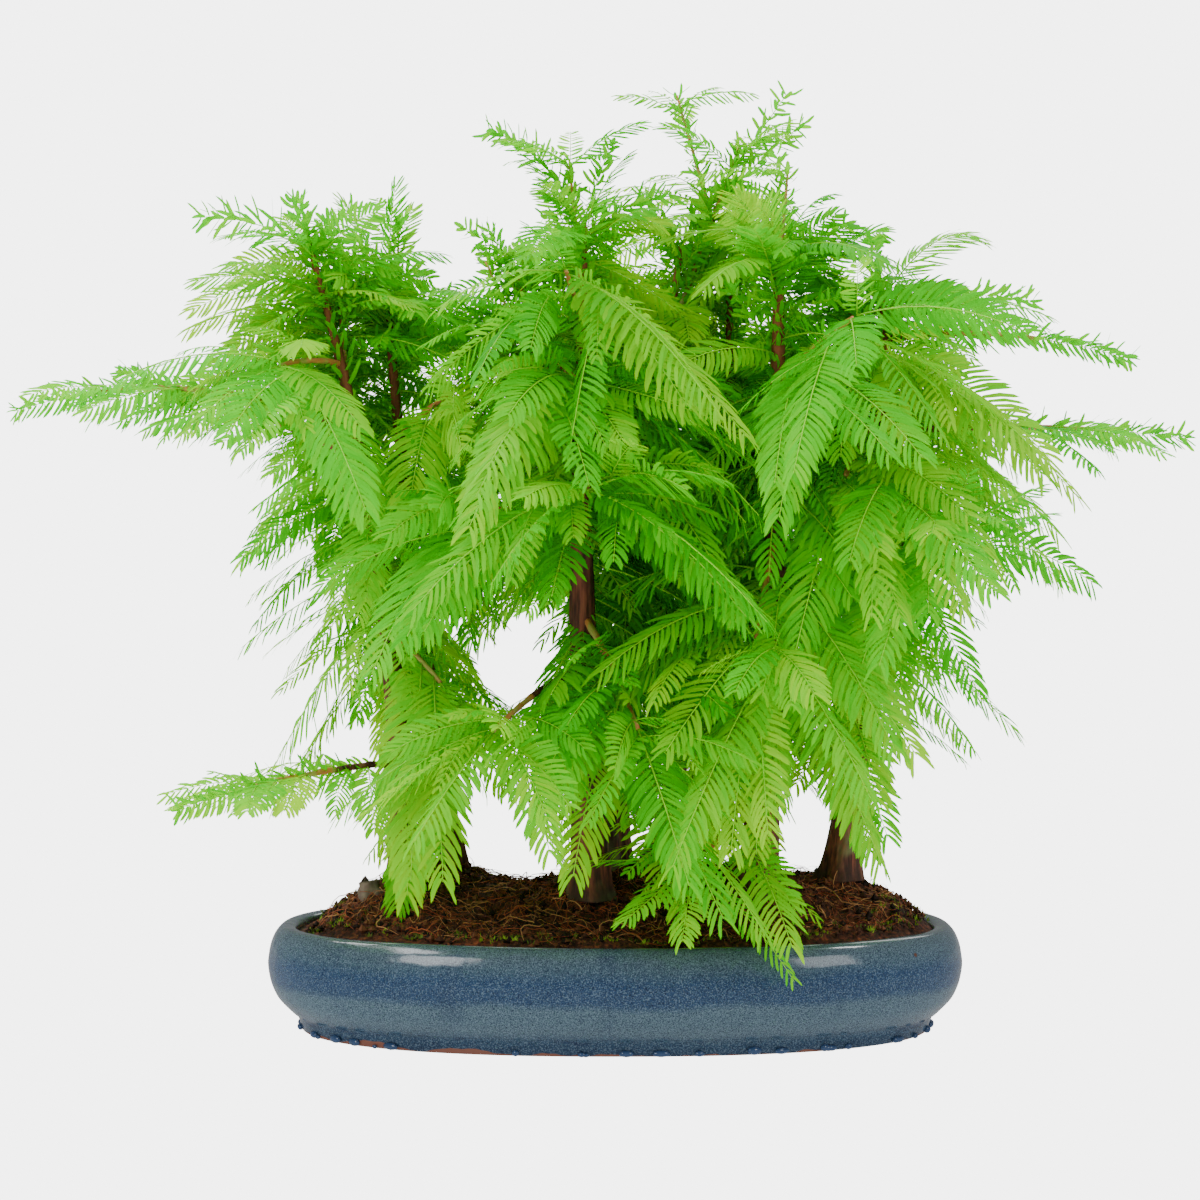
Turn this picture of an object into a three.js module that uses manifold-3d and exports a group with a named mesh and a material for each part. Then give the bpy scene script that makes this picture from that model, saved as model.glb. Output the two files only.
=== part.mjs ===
// Dawn redwood forest: eight stems of Metasequoia in an oval glazed pot.
// Millimetres, Z up, X along the pot, the front of the forest towards -Y.
import * as THREE from 'three';
import Module from 'manifold-3d';

const wasm = await Module();
wasm.setup();

// Driving dimensions of the pot
const POT_LENGTH = 360;
const POT_WIDTH = 234;
const POT_HEIGHT = 54;
const POT_SQUARENESS = 2.3;
const POT_SIDES = 34;
const FLOOR_THICKNESS = 9;

// Driving dimensions of the soil: level at the rim, how far it domes over that, rise of the mound,
// where its ridge runs, how far it slopes to either side, its length and how flat it stays along that,
// the rings of points on it and the share of a ring left in the middle, its crumbs, and the little
// heap at the foot of each stem
const SOIL_EDGE = 50;
const SOIL_CROWN = 4;
const SOIL_RISE = 24;
const SOIL_RIDGE = 22;
const SOIL_SLOPE = 118;
const SOIL_LENGTH = 332;
const SOIL_FLATNESS = 4;
const SOIL_RINGS = 3;
const SOIL_MIDDLE = 0.6;
const CRUMB = 2.4;
const HEAP_RISE = 7;
const HEAP_REACH = 22;

// Sides of a trunk, a bough and a twig, steps along them, and how much a three-sided twig is swollen
// to hold the roots of its fronds
const TRUNK_SIDES = 8;
const TRUNK_STEPS = 7;
const BOUGH_SIDES = 6;
const BOUGH_STEPS = 3;
const TWIG_SIDES = 3;
const TWIG_STEPS = 3;
const TWIG_SWELL = 1.5;

// Taper of a trunk: above 1 it keeps its girth low down and thins near the top
const TRUNK_TAPER = 1.3;

// Steps of a trunk lie closer together near its foot: above 1 is closer
const TRUNK_BUNCHING = 1.5;

// A limb's wood: radius at its tip, and what a limb of the reference length gains towards its start
const LIMB_TIP_RADIUS = 0.9;
const LIMB_GAIN = 1.4;
const LIMB_REFERENCE = 150;

// Root flare: how much wider the foot is, how fast that fades with height, and its root ridges
const FLARE = 0.55;
const FLARE_HEIGHT = 14;
const RIDGES = 4;
const RIDGE_DEPTH = 0.16;
const FOOT_DEPTH = 4;

// Clearance between neighbours that touch on the real plant, and between foliage that passes close
const TOUCH = 0.3;
const PASS = 0.6;

// A sleeve this much wider than a sloping piece stays that clearance away from it
const SLEEVE = 0.42;

// A frond: length of blade for each tooth, half width and keel depth as shares of its length, how far
// the notches cut in, half width of its root, the share of it near the stem that may touch a neighbour,
// how deep the frond at a stem's end is sunk, where its outline starts and how much of a half wave it
// takes up, how blunt that wave is, where its last tooth ends, and how far along a tooth its point is
const TOOTH_PITCH = 28;
const FROND_HALF_WIDTH = 0.225;
const FROND_DEPTH = 0.018;
const FROND_NOTCH = 0.46;
const ROOT_HALF_WIDTH = 0.55;
const FROND_NECK = 0.14;
const ROOT_SINK = 4;
const OUTLINE_START = 0.14;
const OUTLINE_SPAN = 0.78;
const OUTLINE_BLUNTNESS = 0.8;
const TEETH_END = 0.98;
const TOOTH_LEAN = 0.88;

// The frond at a stem's end: its length against a side frond's, and the most of the limb it may take
const END_SHARE = 0.8;
const MOST_END = 0.55;

// Above this rise a limb is an upright leader, and the frond at its end turns by this roll to the front
const STEEP = 45;
const LEADER_ROLL = 65;

// Side fronds: pairs of them on a stem, the first one's distance from the trunk and past a bare bough,
// where in its step along the stem a frond of each hand stands, how fronds shorten outwards and from
// which share of the stem, and how far chance varies each one
const PAIRS = 3;
const FIRST_FROND = 16;
const PAST_BOUGH = 0.07;
const RIGHT_STEP = 0.2;
const LEFT_STEP = 0.66;
const FROND_TAPER = 0.22;
const FULL_LENGTH_AT = 0.2;
const STEP_SPREAD = 0.14;
const LENGTH_SPREAD = 0.24;
const BEARING_SPREAD = 14;
const RISE_SPREAD = 16;
const ROLL_SPREAD = 40;

// Detail finer than this is smoothed away where pieces are joined, and their points lie on this grid
const FINEST = 0.03;
const GRID = 0.05;

// Stems: foot (x, y), tip (x, y, z), how late the lean comes, sideways bow, radius low and high
const TRUNKS = [
  { name: 'left', foot: [-110, -8], tip: [-160, 0, 408], late: 2.0, bow: 0, low: 6.4, high: 1.6 },
  { name: 'left_back', foot: [-86, 34], tip: [-123, 30, 396], late: 1.3, bow: -6, low: 5.4, high: 1.6 },
  { name: 'front', foot: [-12, -36], tip: [-16, -36, 414], late: 1.0, bow: -3, low: 8.8, high: 1.5 },
  { name: 'centre', foot: [-3, -4], tip: [-50, -10, 392], late: 1.5, bow: 0, low: 5.2, high: 1.8 },
  { name: 'back', foot: [2, 40], tip: [36, 44, 412], late: 1.5, bow: 0, low: 5.6, high: 1.6 },
  { name: 'far', foot: [20, 58], tip: [62, 56, 404], late: 1.0, bow: 16, low: 5.2, high: 1.6 },
  { name: 'right_front', foot: [72, -32], tip: [83, -30, 396], late: 1.0, bow: 4, low: 8.8, high: 2.2 },
  { name: 'right', foot: [117, 8], tip: [141, 10, 380], late: 1.0, bow: 8, low: 8.2, high: 1.7 },
];

// Ways of growing: length of a frond, angle between frond and stem seen from above, turn from each pair
// of fronds to the next, rise of a frond and how far its weight bows it
const HABITS = {
  reaching: { frond: 62, angle: 42, turn: 0, rise: 0, sag: 0.22 },
  spreading: { frond: 112, angle: 52, turn: 0, rise: -16, sag: 0.38 },
  hanging: { frond: 112, angle: 44, turn: 0, rise: -46, sag: 0.24 },
  low: { frond: 86, angle: 50, turn: 0, rise: -30, sag: 0.26 },
  upright: { frond: 84, angle: 90, turn: 65, rise: 12, sag: 0.42 },
  short: { frond: 84, angle: 54, turn: 0, rise: -16, sag: 0.34 },
  small: { frond: 60, angle: 52, turn: 0, rise: -22, sag: 0.26 },
};

// Limbs: stem and height on it (0 foot, 1 tip), bearing and rise in degrees, length to the furthest
// leaf tip, sag, the share that is a bare bough (0 where the foliage starts at the stem), habit
const LIMBS = [
  ['far_left', 'left', 0.7, 187, 25, 194, 0.37, 0.34, 'reaching'],
  ['mid_left', 'left', 0.66, 176, 26, 144, 0.11, 0.3, 'reaching'],
  ['top_left', 'left', 0.75, 123, 77, 84, 0, 0, 'upright'],
  ['side_left', 'left', 0.58, 151, 32, 54, 0.36, 0, 'small'],
  ['left_bright', 'left', 0.81, 239, 5, 113, 0.39, 0, 'spreading'],
  ['reach_left', 'left', 0.19, 227, 0, 146, 0.11, 0.3, 'reaching'],
  ['hang_left', 'left_back', 0.24, 310, -71, 60, 0.72, 0, 'low'],
  ['droop_left', 'left', 0.39, 318, -22, 92, 0.49, 0, 'hanging'],
  ['inner_left', 'left_back', 0.73, 314, 28, 125, 0.18, 0, 'spreading'],
  ['rear_left', 'left_back', 0.73, 95, 17, 138, 0.26, 0, 'spreading'],
  ['crest_left', 'left_back', 0.84, 57, 86, 75, 0, 0, 'upright'],
  ['low_rear_left', 'left_back', 0.6, 129, -80, 129, 0.46, 0, 'hanging'],
  ['front_left', 'front', 0.34, 237, -8, 147, 0.4, 0.32, 'short'],
  ['front_wide', 'front', 0.56, 199, 14, 139, 0.43, 0, 'spreading'],
  ['front_full', 'front', 0.59, 273, 15, 137, 0.49, 0, 'spreading'],
  ['front_hang', 'front', 0.42, 294, -31, 145, 0.36, 0, 'short'],
  ['front_low', 'front', 0.31, 354, -66, 144, 0.14, 0, 'spreading'],
  ['front_high', 'front', 0.85, 257, 36, 97, 0.16, 0, 'spreading'],
  ['front_crest', 'front', 0.88, 219, 83, 74, 0, 0, 'upright'],
  ['centre_front', 'centre', 0.87, 290, -13, 136, 0.19, 0.36, 'spreading'],
  ['centre_crest', 'centre', 0.81, 187, 65, 72, 0, 0, 'upright'],
  ['mid_front', 'right_front', 0.57, 254, -42, 138, 0.45, 0, 'spreading'],
  ['mid_hang', 'right_front', 0.39, 271, 13, 112, 0.46, 0, 'hanging'],
  ['mid_low', 'centre', 0.41, 313, -47, 96, 0.26, 0, 'spreading'],
  ['lowest', 'right_front', 0.15, 234, -22, 133, 0, 0, 'short'],
  ['mid_high', 'right_front', 0.8, 311, 38, 148, 0.35, 0, 'spreading'],
  ['mid_crest', 'right_front', 0.94, 330, 85, 66, 0, 0, 'upright'],
  ['tall_shoot', 'back', 0.84, 4, 70, 116, 0, 0, 'upright'],
  ['far_shoot', 'far', 0.98, 170, 74, 105, 0, 0, 'upright'],
  ['rear_full', 'back', 0.52, 118, -2, 140, 0.24, 0, 'spreading'],
  ['rear_right', 'far', 0.53, 60, -21, 139, 0.48, 0, 'spreading'],
  ['rear_high', 'far', 0.76, 103, 30, 118, 0.01, 0, 'spreading'],
  ['rear_low', 'far', 0.4, 121, -44, 95, 0.06, 0, 'hanging'],
  ['right_long', 'right', 0.77, 358, 5, 161, 0.11, 0.34, 'reaching'],
  ['right_upper', 'right', 0.93, 344, 7, 130, 0.23, 0.3, 'reaching'],
  ['right_crest', 'right', 0.96, 30, 25, 113, 0.28, 0, 'reaching'],
  ['right_mid', 'right', 0.56, 302, 11, 135, 0.06, 0, 'spreading'],
  ['right_low', 'right', 0.49, 313, -42, 56, 0.1, 0, 'small'],
  ['right_hang', 'right', 0.36, 228, -34, 112, 0.5, 0, 'short'],
  ['right_front', 'right', 0.81, 245, -21, 140, 0.55, 0, 'spreading'],
  ['right_bright', 'right', 0.85, 266, 37, 108, 0.45, 0, 'spreading'],
  ['right_crown', 'right', 0.9, 130, 46, 132, 0.1, 0, 'upright'],
  ['right_rear', 'right', 0.81, 73, -18, 128, 0.36, 0, 'spreading'],
].map(([name, trunk, at, bearing, rise, length, sag, bare, habit]) => (
  { name, trunk, at, bearing, rise, length, sag, bare, habit }));

const TURN = Math.PI / 180;

// A repeatable random number from 0 to 1 for two whole numbers
function chance(first, second) {
  const wave = Math.sin(first * 12.9898 + second * 78.233) * 43758.5453;
  return wave - Math.floor(wave);
}

// A closed solid through rings of points that run counter-clockwise as seen from its last ring
function loft(rings) {
  const sides = rings[0].length;
  const points = rings.flat();
  const faces = [];
  for (let ring = 0; ring < rings.length - 1; ring += 1) {
    for (let side = 0; side < sides; side += 1) {
      const near = ring * sides + side;
      const next = ring * sides + (side + 1) % sides;
      faces.push([near, next, next + sides], [near, next + sides, near + sides]);
    }
  }
  const last = points.length - sides;
  for (let side = 1; side < sides - 1; side += 1) {
    faces.push([0, side + 1, side], [last, last + side, last + side + 1]);
  }
  return solidOf(points, faces);
}

// A solid from its points and its triangles
function solidOf(points, faces) {
  const vertProperties = new Float32Array(points.flatMap((point) => [point.x, point.y, point.z]));
  const triVerts = new Uint32Array(faces.flat());
  return new wasm.Manifold(new wasm.Mesh({ numProp: 3, vertProperties, triVerts }));
}

// The largest connected body of a solid, without the scraps and sealed hollows beside it
function largestBody(solid) {
  const bodies = solid.decompose();
  return bodies.reduce((best, body) => (body.volume() > best.volume() ? body : best));
}

// A joined solid without slivers: fine detail is smoothed away, points are drawn to a fine grid so that
// near neighbours meet, and only the largest body is kept
function tidied(solid) {
  const smooth = solid.asOriginal().simplify(FINEST);
  const drawn = smooth.warp((point) => {
    point.forEach((value, axis) => {
      point[axis] = Math.round(value / GRID) * GRID;
    });
  });
  return largestBody(drawn.simplify(FINEST));
}

// A named mesh with its own material
function meshOf(name, solid, color, roughness) {
  const { vertProperties, triVerts } = solid.getMesh();
  const geometry = new THREE.BufferGeometry();
  geometry.setAttribute('position', new THREE.BufferAttribute(new Float32Array(vertProperties), 3));
  geometry.setIndex(new THREE.BufferAttribute(new Uint32Array(triVerts), 1));
  geometry.computeVertexNormals();
  const material = new THREE.MeshStandardMaterial({ color, roughness, metalness: 0, flatShading: true });
  const mesh = new THREE.Mesh(geometry, material);
  mesh.name = name;
  return mesh;
}

// A ring of the pot's oval, drawn in from its widest outline by an inset, at one height
function ovalRing(inset, height) {
  const ring = [];
  for (let side = 0; side < POT_SIDES; side += 1) {
    const angle = (side / POT_SIDES) * 2 * Math.PI;
    const x = Math.sign(Math.cos(angle)) * Math.abs(Math.cos(angle)) ** (2 / POT_SQUARENESS);
    const y = Math.sign(Math.sin(angle)) * Math.abs(Math.sin(angle)) ** (2 / POT_SQUARENESS);
    ring.push(new THREE.Vector3((POT_LENGTH / 2 - inset) * x, (POT_WIDTH / 2 - inset) * y, height));
  }
  return ring;
}

// The pot: an incurved wall over a short foot band, with rows of inset and height from the flat
// underside up the outside, over the lip and down the inside to the floor
const OUTER_WALL = [
  [17.5, 0], [15.2, 7], [12.6, 10], [5.6, 16.5], [1.8, 25], [0, 34], [0.8, 42], [3.4, 49], [6.4, 53.2],
  [9.4, POT_HEIGHT],
];
const INNER_WALL = [[15.2, POT_HEIGHT - 2.6], [12, 42], [10.5, 34], [14, 20], [26, FLOOR_THICKNESS]];

function potSolid() {
  return loft([...OUTER_WALL, ...INNER_WALL].map(([inset, height]) => ovalRing(inset, height)));
}

// Height of the soil mound: a ridge along the pot, low at the rim and at both ends
function soilHeight(x, y) {
  const across = Math.min(1, Math.abs(y - SOIL_RIDGE) / SOIL_SLOPE);
  const along = Math.max(0, 1 - Math.abs((2 * x) / SOIL_LENGTH) ** SOIL_FLATNESS);
  const mound = SOIL_RISE * 0.5 * (1 + Math.cos(Math.PI * across)) * along;
  const nearest = Math.min(...TRUNKS.map(({ foot }) => Math.hypot(x - foot[0], y - foot[1])));
  const heap = HEAP_RISE * Math.exp(-((nearest / HEAP_REACH) ** 2));
  return SOIL_EDGE + SOIL_CROWN + mound + heap;
}

// The soil: it lies just inside the pot's wall and floor, and its top closes ring by ring
function soilSolid() {
  const [[lipInset], ...below] = INNER_WALL;
  const wall = below.reverse().map(([inset, height], row) => (
    ovalRing(inset + SLEEVE, height + (row === 0 ? TOUCH : 0))));
  const edge = ovalRing(lipInset + TOUCH, SOIL_EDGE);
  const mound = [];
  for (let ring = 1; ring <= SOIL_RINGS; ring += 1) {
    const share = 1 - ring / (SOIL_RINGS + SOIL_MIDDLE);
    mound.push(edge.map((rim, side) => {
      const x = rim.x * share;
      const y = rim.y * share;
      const crumb = CRUMB * (chance(ring, side) - 0.5);
      return new THREE.Vector3(x, y, soilHeight(x, y) + crumb);
    }));
  }
  return loft([...wall, edge, ...mound]);
}

// A trunk's centre at a share of its height
function trunkPoint(trunk, share) {
  const lean = share ** trunk.late;
  const foot = soilHeight(...trunk.foot) - FOOT_DEPTH;
  return new THREE.Vector3(
    trunk.foot[0] + (trunk.tip[0] - trunk.foot[0]) * lean + trunk.bow * Math.sin(Math.PI * share),
    trunk.foot[1] + (trunk.tip[1] - trunk.foot[1]) * lean,
    foot + (trunk.tip[2] - foot) * share,
  );
}

// A trunk: level rings that taper to the cut tip and flare into root ridges at the foot. The same
// solid, made wider by a margin and longer by the clearance, is the sleeve that its neighbours avoid
function trunkSolid(trunk, margin) {
  const rings = [];
  for (let step = 0; step <= TRUNK_STEPS; step += 1) {
    const share = (step / TRUNK_STEPS) ** TRUNK_BUNCHING;
    const centre = trunkPoint(trunk, share);
    const height = centre.z - trunkPoint(trunk, 0).z;
    const taper = trunk.low + (trunk.high - trunk.low) * share ** TRUNK_TAPER;
    const flare = Math.exp(-height / FLARE_HEIGHT);
    const past = margin > 0 ? TOUCH * (Number(step === TRUNK_STEPS) - Number(step === 0)) : 0;
    rings.push(Array.from({ length: TRUNK_SIDES }, (_, side) => {
      const angle = (side / TRUNK_SIDES) * 2 * Math.PI;
      const ridge = 1 + flare * (FLARE + RIDGE_DEPTH * Math.cos(RIDGES * angle));
      const radius = taper * ridge + margin;
      return new THREE.Vector3(
        centre.x + radius * Math.cos(angle),
        centre.y + radius * Math.sin(angle),
        centre.z + past,
      );
    }));
  }
  return loft(rings);
}

// The line of a limb or frond: it leaves its start on a bearing and a rise, and its weight bows it
// down with the square of the distance
function linePoint(line, share) {
  const level = Math.cos(line.rise * TURN) * line.length * share;
  return new THREE.Vector3(
    line.start.x + Math.cos(line.bearing * TURN) * level,
    line.start.y + Math.sin(line.bearing * TURN) * level,
    line.start.z + line.length * (Math.sin(line.rise * TURN) * share - line.sag * share * share),
  );
}

// Direction of that line, its level side direction, and the direction that its upper face looks in
function lineFrame(line, share) {
  const along = new THREE.Vector3(
    Math.cos(line.bearing * TURN) * Math.cos(line.rise * TURN),
    Math.sin(line.bearing * TURN) * Math.cos(line.rise * TURN),
    Math.sin(line.rise * TURN) - 2 * line.sag * share,
  ).normalize();
  const side = new THREE.Vector3(-Math.sin(line.bearing * TURN), Math.cos(line.bearing * TURN), 0);
  if (line.roll) side.applyAxisAngle(along, line.roll * TURN);
  return { along, side, upper: along.clone().cross(side) };
}

// Radius of a limb's wood at a share of its length
function limbRadius(limb, share) {
  return LIMB_TIP_RADIUS + LIMB_GAIN * (1 - share) * (limb.length / LIMB_REFERENCE);
}

// A stretch of a limb's wood as a tapering solid
function woodSolid(limb, from, to, sides, steps, swell) {
  const rings = [];
  for (let step = 0; step <= steps; step += 1) {
    const share = from + ((to - from) * step) / steps;
    const centre = linePoint(limb, share);
    const { side, upper } = lineFrame(limb, share);
    const radius = limbRadius(limb, share) * swell;
    rings.push(Array.from({ length: sides }, (_, corner) => {
      const angle = (corner / sides) * 2 * Math.PI;
      return centre.clone()
        .addScaledVector(side, radius * Math.cos(angle))
        .addScaledVector(upper, radius * Math.sin(angle));
    }));
  }
  return loft(rings);
}

// Half width of a frond's blade at a share of its length: lance-shaped, widest before the middle
function bladeHalfWidth(frond, share) {
  const wave = Math.sin(Math.PI * (OUTLINE_START + OUTLINE_SPAN * share));
  return frond.length * FROND_HALF_WIDTH * wave ** OUTLINE_BLUNTNESS;
}

// A frond: a flat toothed blade from a share of its length to its tip, with a keel for the midrib
function frondSolid(frond, from) {
  const points = [];
  const addStation = (share, halfWidth, depth) => {
    const centre = linePoint(frond, share);
    const { side, upper } = lineFrame(frond, share);
    const left = points.push(centre.clone().addScaledVector(side, halfWidth)) - 1;
    const right = points.push(centre.clone().addScaledVector(side, -halfWidth)) - 1;
    const keel = depth ? points.push(centre.clone().addScaledVector(upper, -depth)) - 1 : null;
    return { left, right, keel };
  };
  const teeth = Math.max(3, Math.round(frond.length / TOOTH_PITCH));
  const stations = Array.from({ length: teeth }, (_, tooth) => {
    const notch = Math.max(from, (TEETH_END * tooth) / teeth);
    const point = (TEETH_END * (tooth + TOOTH_LEAN)) / teeth;
    const halfWidth = tooth === 0 ? ROOT_HALF_WIDTH : bladeHalfWidth(frond, notch) * FROND_NOTCH;
    const depth = tooth === 0 ? ROOT_HALF_WIDTH : frond.length * FROND_DEPTH;
    return [addStation(notch, halfWidth, depth), addStation(point, bladeHalfWidth(frond, point), 0)];
  });
  const tip = points.push(linePoint(frond, 1)) - 1;

  const root = stations[0][0];
  const faces = [[root.left, root.keel, root.right]];
  stations.forEach(([notch, tooth], index) => {
    faces.push([notch.left, notch.right, tooth.right], [notch.left, tooth.right, tooth.left]);
    faces.push([notch.left, tooth.left, notch.keel], [notch.right, notch.keel, tooth.right]);
    if (index < teeth - 1) {
      const next = stations[index + 1][0];
      faces.push([tooth.left, tooth.right, next.right], [tooth.left, next.right, next.left]);
      faces.push([tooth.left, next.keel, notch.keel], [tooth.left, next.left, next.keel]);
      faces.push([tooth.right, notch.keel, next.keel], [tooth.right, next.keel, next.right]);
    } else {
      faces.push([tooth.left, tooth.right, tip]);
      faces.push([tooth.left, tip, notch.keel], [tooth.right, notch.keel, tip]);
    }
  });
  return solidOf(points, faces);
}

// Where a limb starts: on the centre line of its trunk
function placeLimb(limb, index) {
  const trunk = TRUNKS.find(({ name }) => name === limb.trunk);
  const habit = HABITS[limb.habit];
  const endLength = Math.min(MOST_END, (END_SHARE * habit.frond) / limb.length);
  return { ...limb, index, habit, stemEnd: 1 - endLength, start: trunkPoint(trunk, limb.at) };
}

// The frond at the end of a limb, which carries its line on to the tip
function endFrond(limb) {
  const root = limb.stemEnd - ROOT_SINK / limb.length;
  const start = linePoint(limb, root);
  const rest = 1 - root;
  const slope = Math.sin(limb.rise * TURN) - 2 * limb.sag * root;
  const level = Math.cos(limb.rise * TURN);
  const stretch = Math.hypot(slope, level);
  return {
    start,
    bearing: limb.bearing,
    rise: Math.atan2(slope, level) / TURN,
    length: limb.length * rest * stretch,
    sag: (limb.sag * rest) / stretch,
    roll: limb.rise > STEEP ? LEADER_ROLL : ROLL_SPREAD * (chance(limb.index, 5) - 0.5),
  };
}

// One side frond of a limb: pair counts from the trunk outwards, hand is -1 or 1
function sideFrond(limb, pair, hand) {
  const { habit, index } = limb;
  const seed = index * 10 + pair * 2 + (hand > 0 ? 1 : 0);
  const first = Math.max(limb.bare + PAST_BOUGH, FIRST_FROND / limb.length);
  const step = pair + (hand > 0 ? LEFT_STEP : RIGHT_STEP) + STEP_SPREAD * chance(seed, 1);
  const share = first + ((limb.stemEnd - first) * step) / PAIRS;
  const angle = habit.angle + BEARING_SPREAD * (chance(seed, 2) - 0.5);
  const shorter = 1 + FROND_TAPER * (FULL_LENGTH_AT - share);
  return {
    start: linePoint(limb, share),
    bearing: limb.bearing + hand * angle + pair * habit.turn,
    rise: habit.rise + RISE_SPREAD * (chance(seed, 3) - 0.5),
    length: habit.frond * shorter * (1 + LENGTH_SPREAD * (chance(seed, 4) - 0.5)),
    sag: habit.sag,
    roll: ROLL_SPREAD * (chance(seed, 5) - 0.5),
  };
}

// Small changes of bearing, rise and length that a frond tries, in order, until it has clear space
const TRIES = [
  [0, 0, 1], [9, -6, 1], [-9, 6, 1], [0, -14, 0.95], [0, 14, 0.95], [20, 4, 0.9], [-20, -4, 0.9],
  [12, -22, 0.85], [-12, 22, 0.85], [30, -10, 0.8], [-30, 10, 0.8], [0, -34, 0.75], [0, 30, 0.7],
];

// Whether two solids stay a gap apart
function isClear(first, second, gap) {
  const [here, there] = [first.boundingBox(), second.boundingBox()];
  const apart = [0, 1, 2].some((axis) => (
    here.min[axis] > there.max[axis] + gap || there.min[axis] > here.max[axis] + gap));
  return apart || first.minGap(second, gap + FINEST) >= gap;
}

const pot = potSolid();
const trunks = TRUNKS.map((trunk) => ({
  name: trunk.name, solid: trunkSolid(trunk, 0), sleeve: trunkSolid(trunk, SLEEVE),
}));
const pocketed = trunks.reduce((ground, { sleeve }) => ground.subtract(sleeve), soilSolid());
const soil = tidied(pocketed);

// Each limb's bare bough and the stem of its foliage, both cut clear of the trunk
const limbs = LIMBS.map(placeLimb).map((limb) => {
  const { sleeve } = trunks.find(({ name }) => name === limb.trunk);
  const hasBough = limb.bare > 0;
  const bare = hasBough ? woodSolid(limb, 0, limb.bare, BOUGH_SIDES, BOUGH_STEPS, 1) : null;
  const from = hasBough ? limb.bare + TOUCH / limb.length : 0;
  const wood = woodSolid(limb, from, limb.stemEnd, TWIG_SIDES, TWIG_STEPS, TWIG_SWELL);
  return {
    ...limb,
    bough: hasBough ? tidied(bare.subtract(sleeve)) : null,
    stem: hasBough ? wood : largestBody(wood.subtract(sleeve)),
    fronds: [],
    blades: [],
  };
});

// A frond grows as the first of its tries that stays clear of every other piece and of its own
// neighbours, and is skipped where none does
function growFrond(limb, frond) {
  const others = [
    pot, soil, ...trunks.map(({ solid }) => solid),
    ...limbs.flatMap((other) => [
      ...(other.bough ? [other.bough] : []), ...(other === limb ? [] : [other.stem, ...other.fronds]),
    ]),
  ];
  for (const [bearing, rise, length] of TRIES) {
    const trial = {
      ...frond, bearing: frond.bearing + bearing, rise: frond.rise + rise, length: frond.length * length,
    };
    const whole = frondSolid(trial, 0);
    const blade = frondSolid(trial, FROND_NECK);
    const own = [limb.stem, ...limb.blades];
    if (others.every((other) => isClear(whole, other, PASS))
      && own.every((other) => isClear(blade, other, TOUCH))) {
      limb.fronds.push(whole);
      limb.blades.push(blade);
      return;
    }
  }
}

limbs.forEach((limb) => growFrond(limb, endFrond(limb)));
for (let pair = 0; pair < PAIRS; pair += 1) {
  for (const hand of [-1, 1]) {
    limbs.forEach((limb) => growFrond(limb, sideFrond(limb, pair, hand)));
  }
}

// The whole forest
const group = new THREE.Group();
group.name = 'dawn_redwood_forest';
group.add(meshOf('pot', pot, 0x4b6478, 0.25));
group.add(meshOf('soil', soil, 0x3c2314, 0.95));
trunks.forEach(({ name, solid }) => group.add(meshOf(`trunk_${name}`, solid, 0x6e3723, 0.85)));
limbs.forEach(({ name, bough, stem, fronds }) => {
  if (bough) group.add(meshOf(`bough_${name}`, bough, 0x8a4a2a, 0.8));
  const whole = fronds.reduce((mass, frond) => mass.add(frond), stem);
  group.add(meshOf(`foliage_${name}`, tidied(whole), 0x50be1e, 0.6));
});

export default group;
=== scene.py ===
"""Looks of a dawn redwood forest in an oval glazed pot.

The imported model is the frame. One operator dresses each kind of piece: the glazed pot, the soil with its
rootlets, the stems and boughs with their bark, and the foliage, which grows by the model's own rule and
is carried on to real fronds with single leaflets. Z is up and the front of the forest looks towards -Y.
"""

import math

import bpy
import numpy as np
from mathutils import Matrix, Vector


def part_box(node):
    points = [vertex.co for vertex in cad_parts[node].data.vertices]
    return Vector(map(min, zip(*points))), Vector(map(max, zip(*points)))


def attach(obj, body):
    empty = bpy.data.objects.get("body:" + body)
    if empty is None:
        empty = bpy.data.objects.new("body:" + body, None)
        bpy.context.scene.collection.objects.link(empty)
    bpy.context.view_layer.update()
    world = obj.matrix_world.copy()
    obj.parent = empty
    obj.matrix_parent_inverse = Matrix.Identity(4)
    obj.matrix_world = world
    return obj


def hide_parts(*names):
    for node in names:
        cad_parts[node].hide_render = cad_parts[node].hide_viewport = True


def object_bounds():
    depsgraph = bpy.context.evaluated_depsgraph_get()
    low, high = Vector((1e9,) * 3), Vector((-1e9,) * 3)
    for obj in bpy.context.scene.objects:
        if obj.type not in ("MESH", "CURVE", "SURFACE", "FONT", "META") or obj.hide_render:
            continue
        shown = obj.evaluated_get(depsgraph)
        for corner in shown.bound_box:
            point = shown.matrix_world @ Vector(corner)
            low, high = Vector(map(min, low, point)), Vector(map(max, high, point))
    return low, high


bl_info = {
    "name": "Dawn redwood forest",
    "version": (1, 0, 0),
    "blender": (4, 5, 0),
    "location": "View3D > Sidebar > Forest",
    "description": "Dresses a dawn redwood forest with bark, needles, soil and a glazed pot",
    "category": "Object",
}

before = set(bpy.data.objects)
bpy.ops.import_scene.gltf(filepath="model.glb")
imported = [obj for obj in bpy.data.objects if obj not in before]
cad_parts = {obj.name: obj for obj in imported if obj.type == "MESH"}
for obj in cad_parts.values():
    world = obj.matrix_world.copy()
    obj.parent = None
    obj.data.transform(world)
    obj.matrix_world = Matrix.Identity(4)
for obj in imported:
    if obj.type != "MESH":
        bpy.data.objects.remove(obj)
MODEL_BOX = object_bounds()

MM = 0.001

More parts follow.
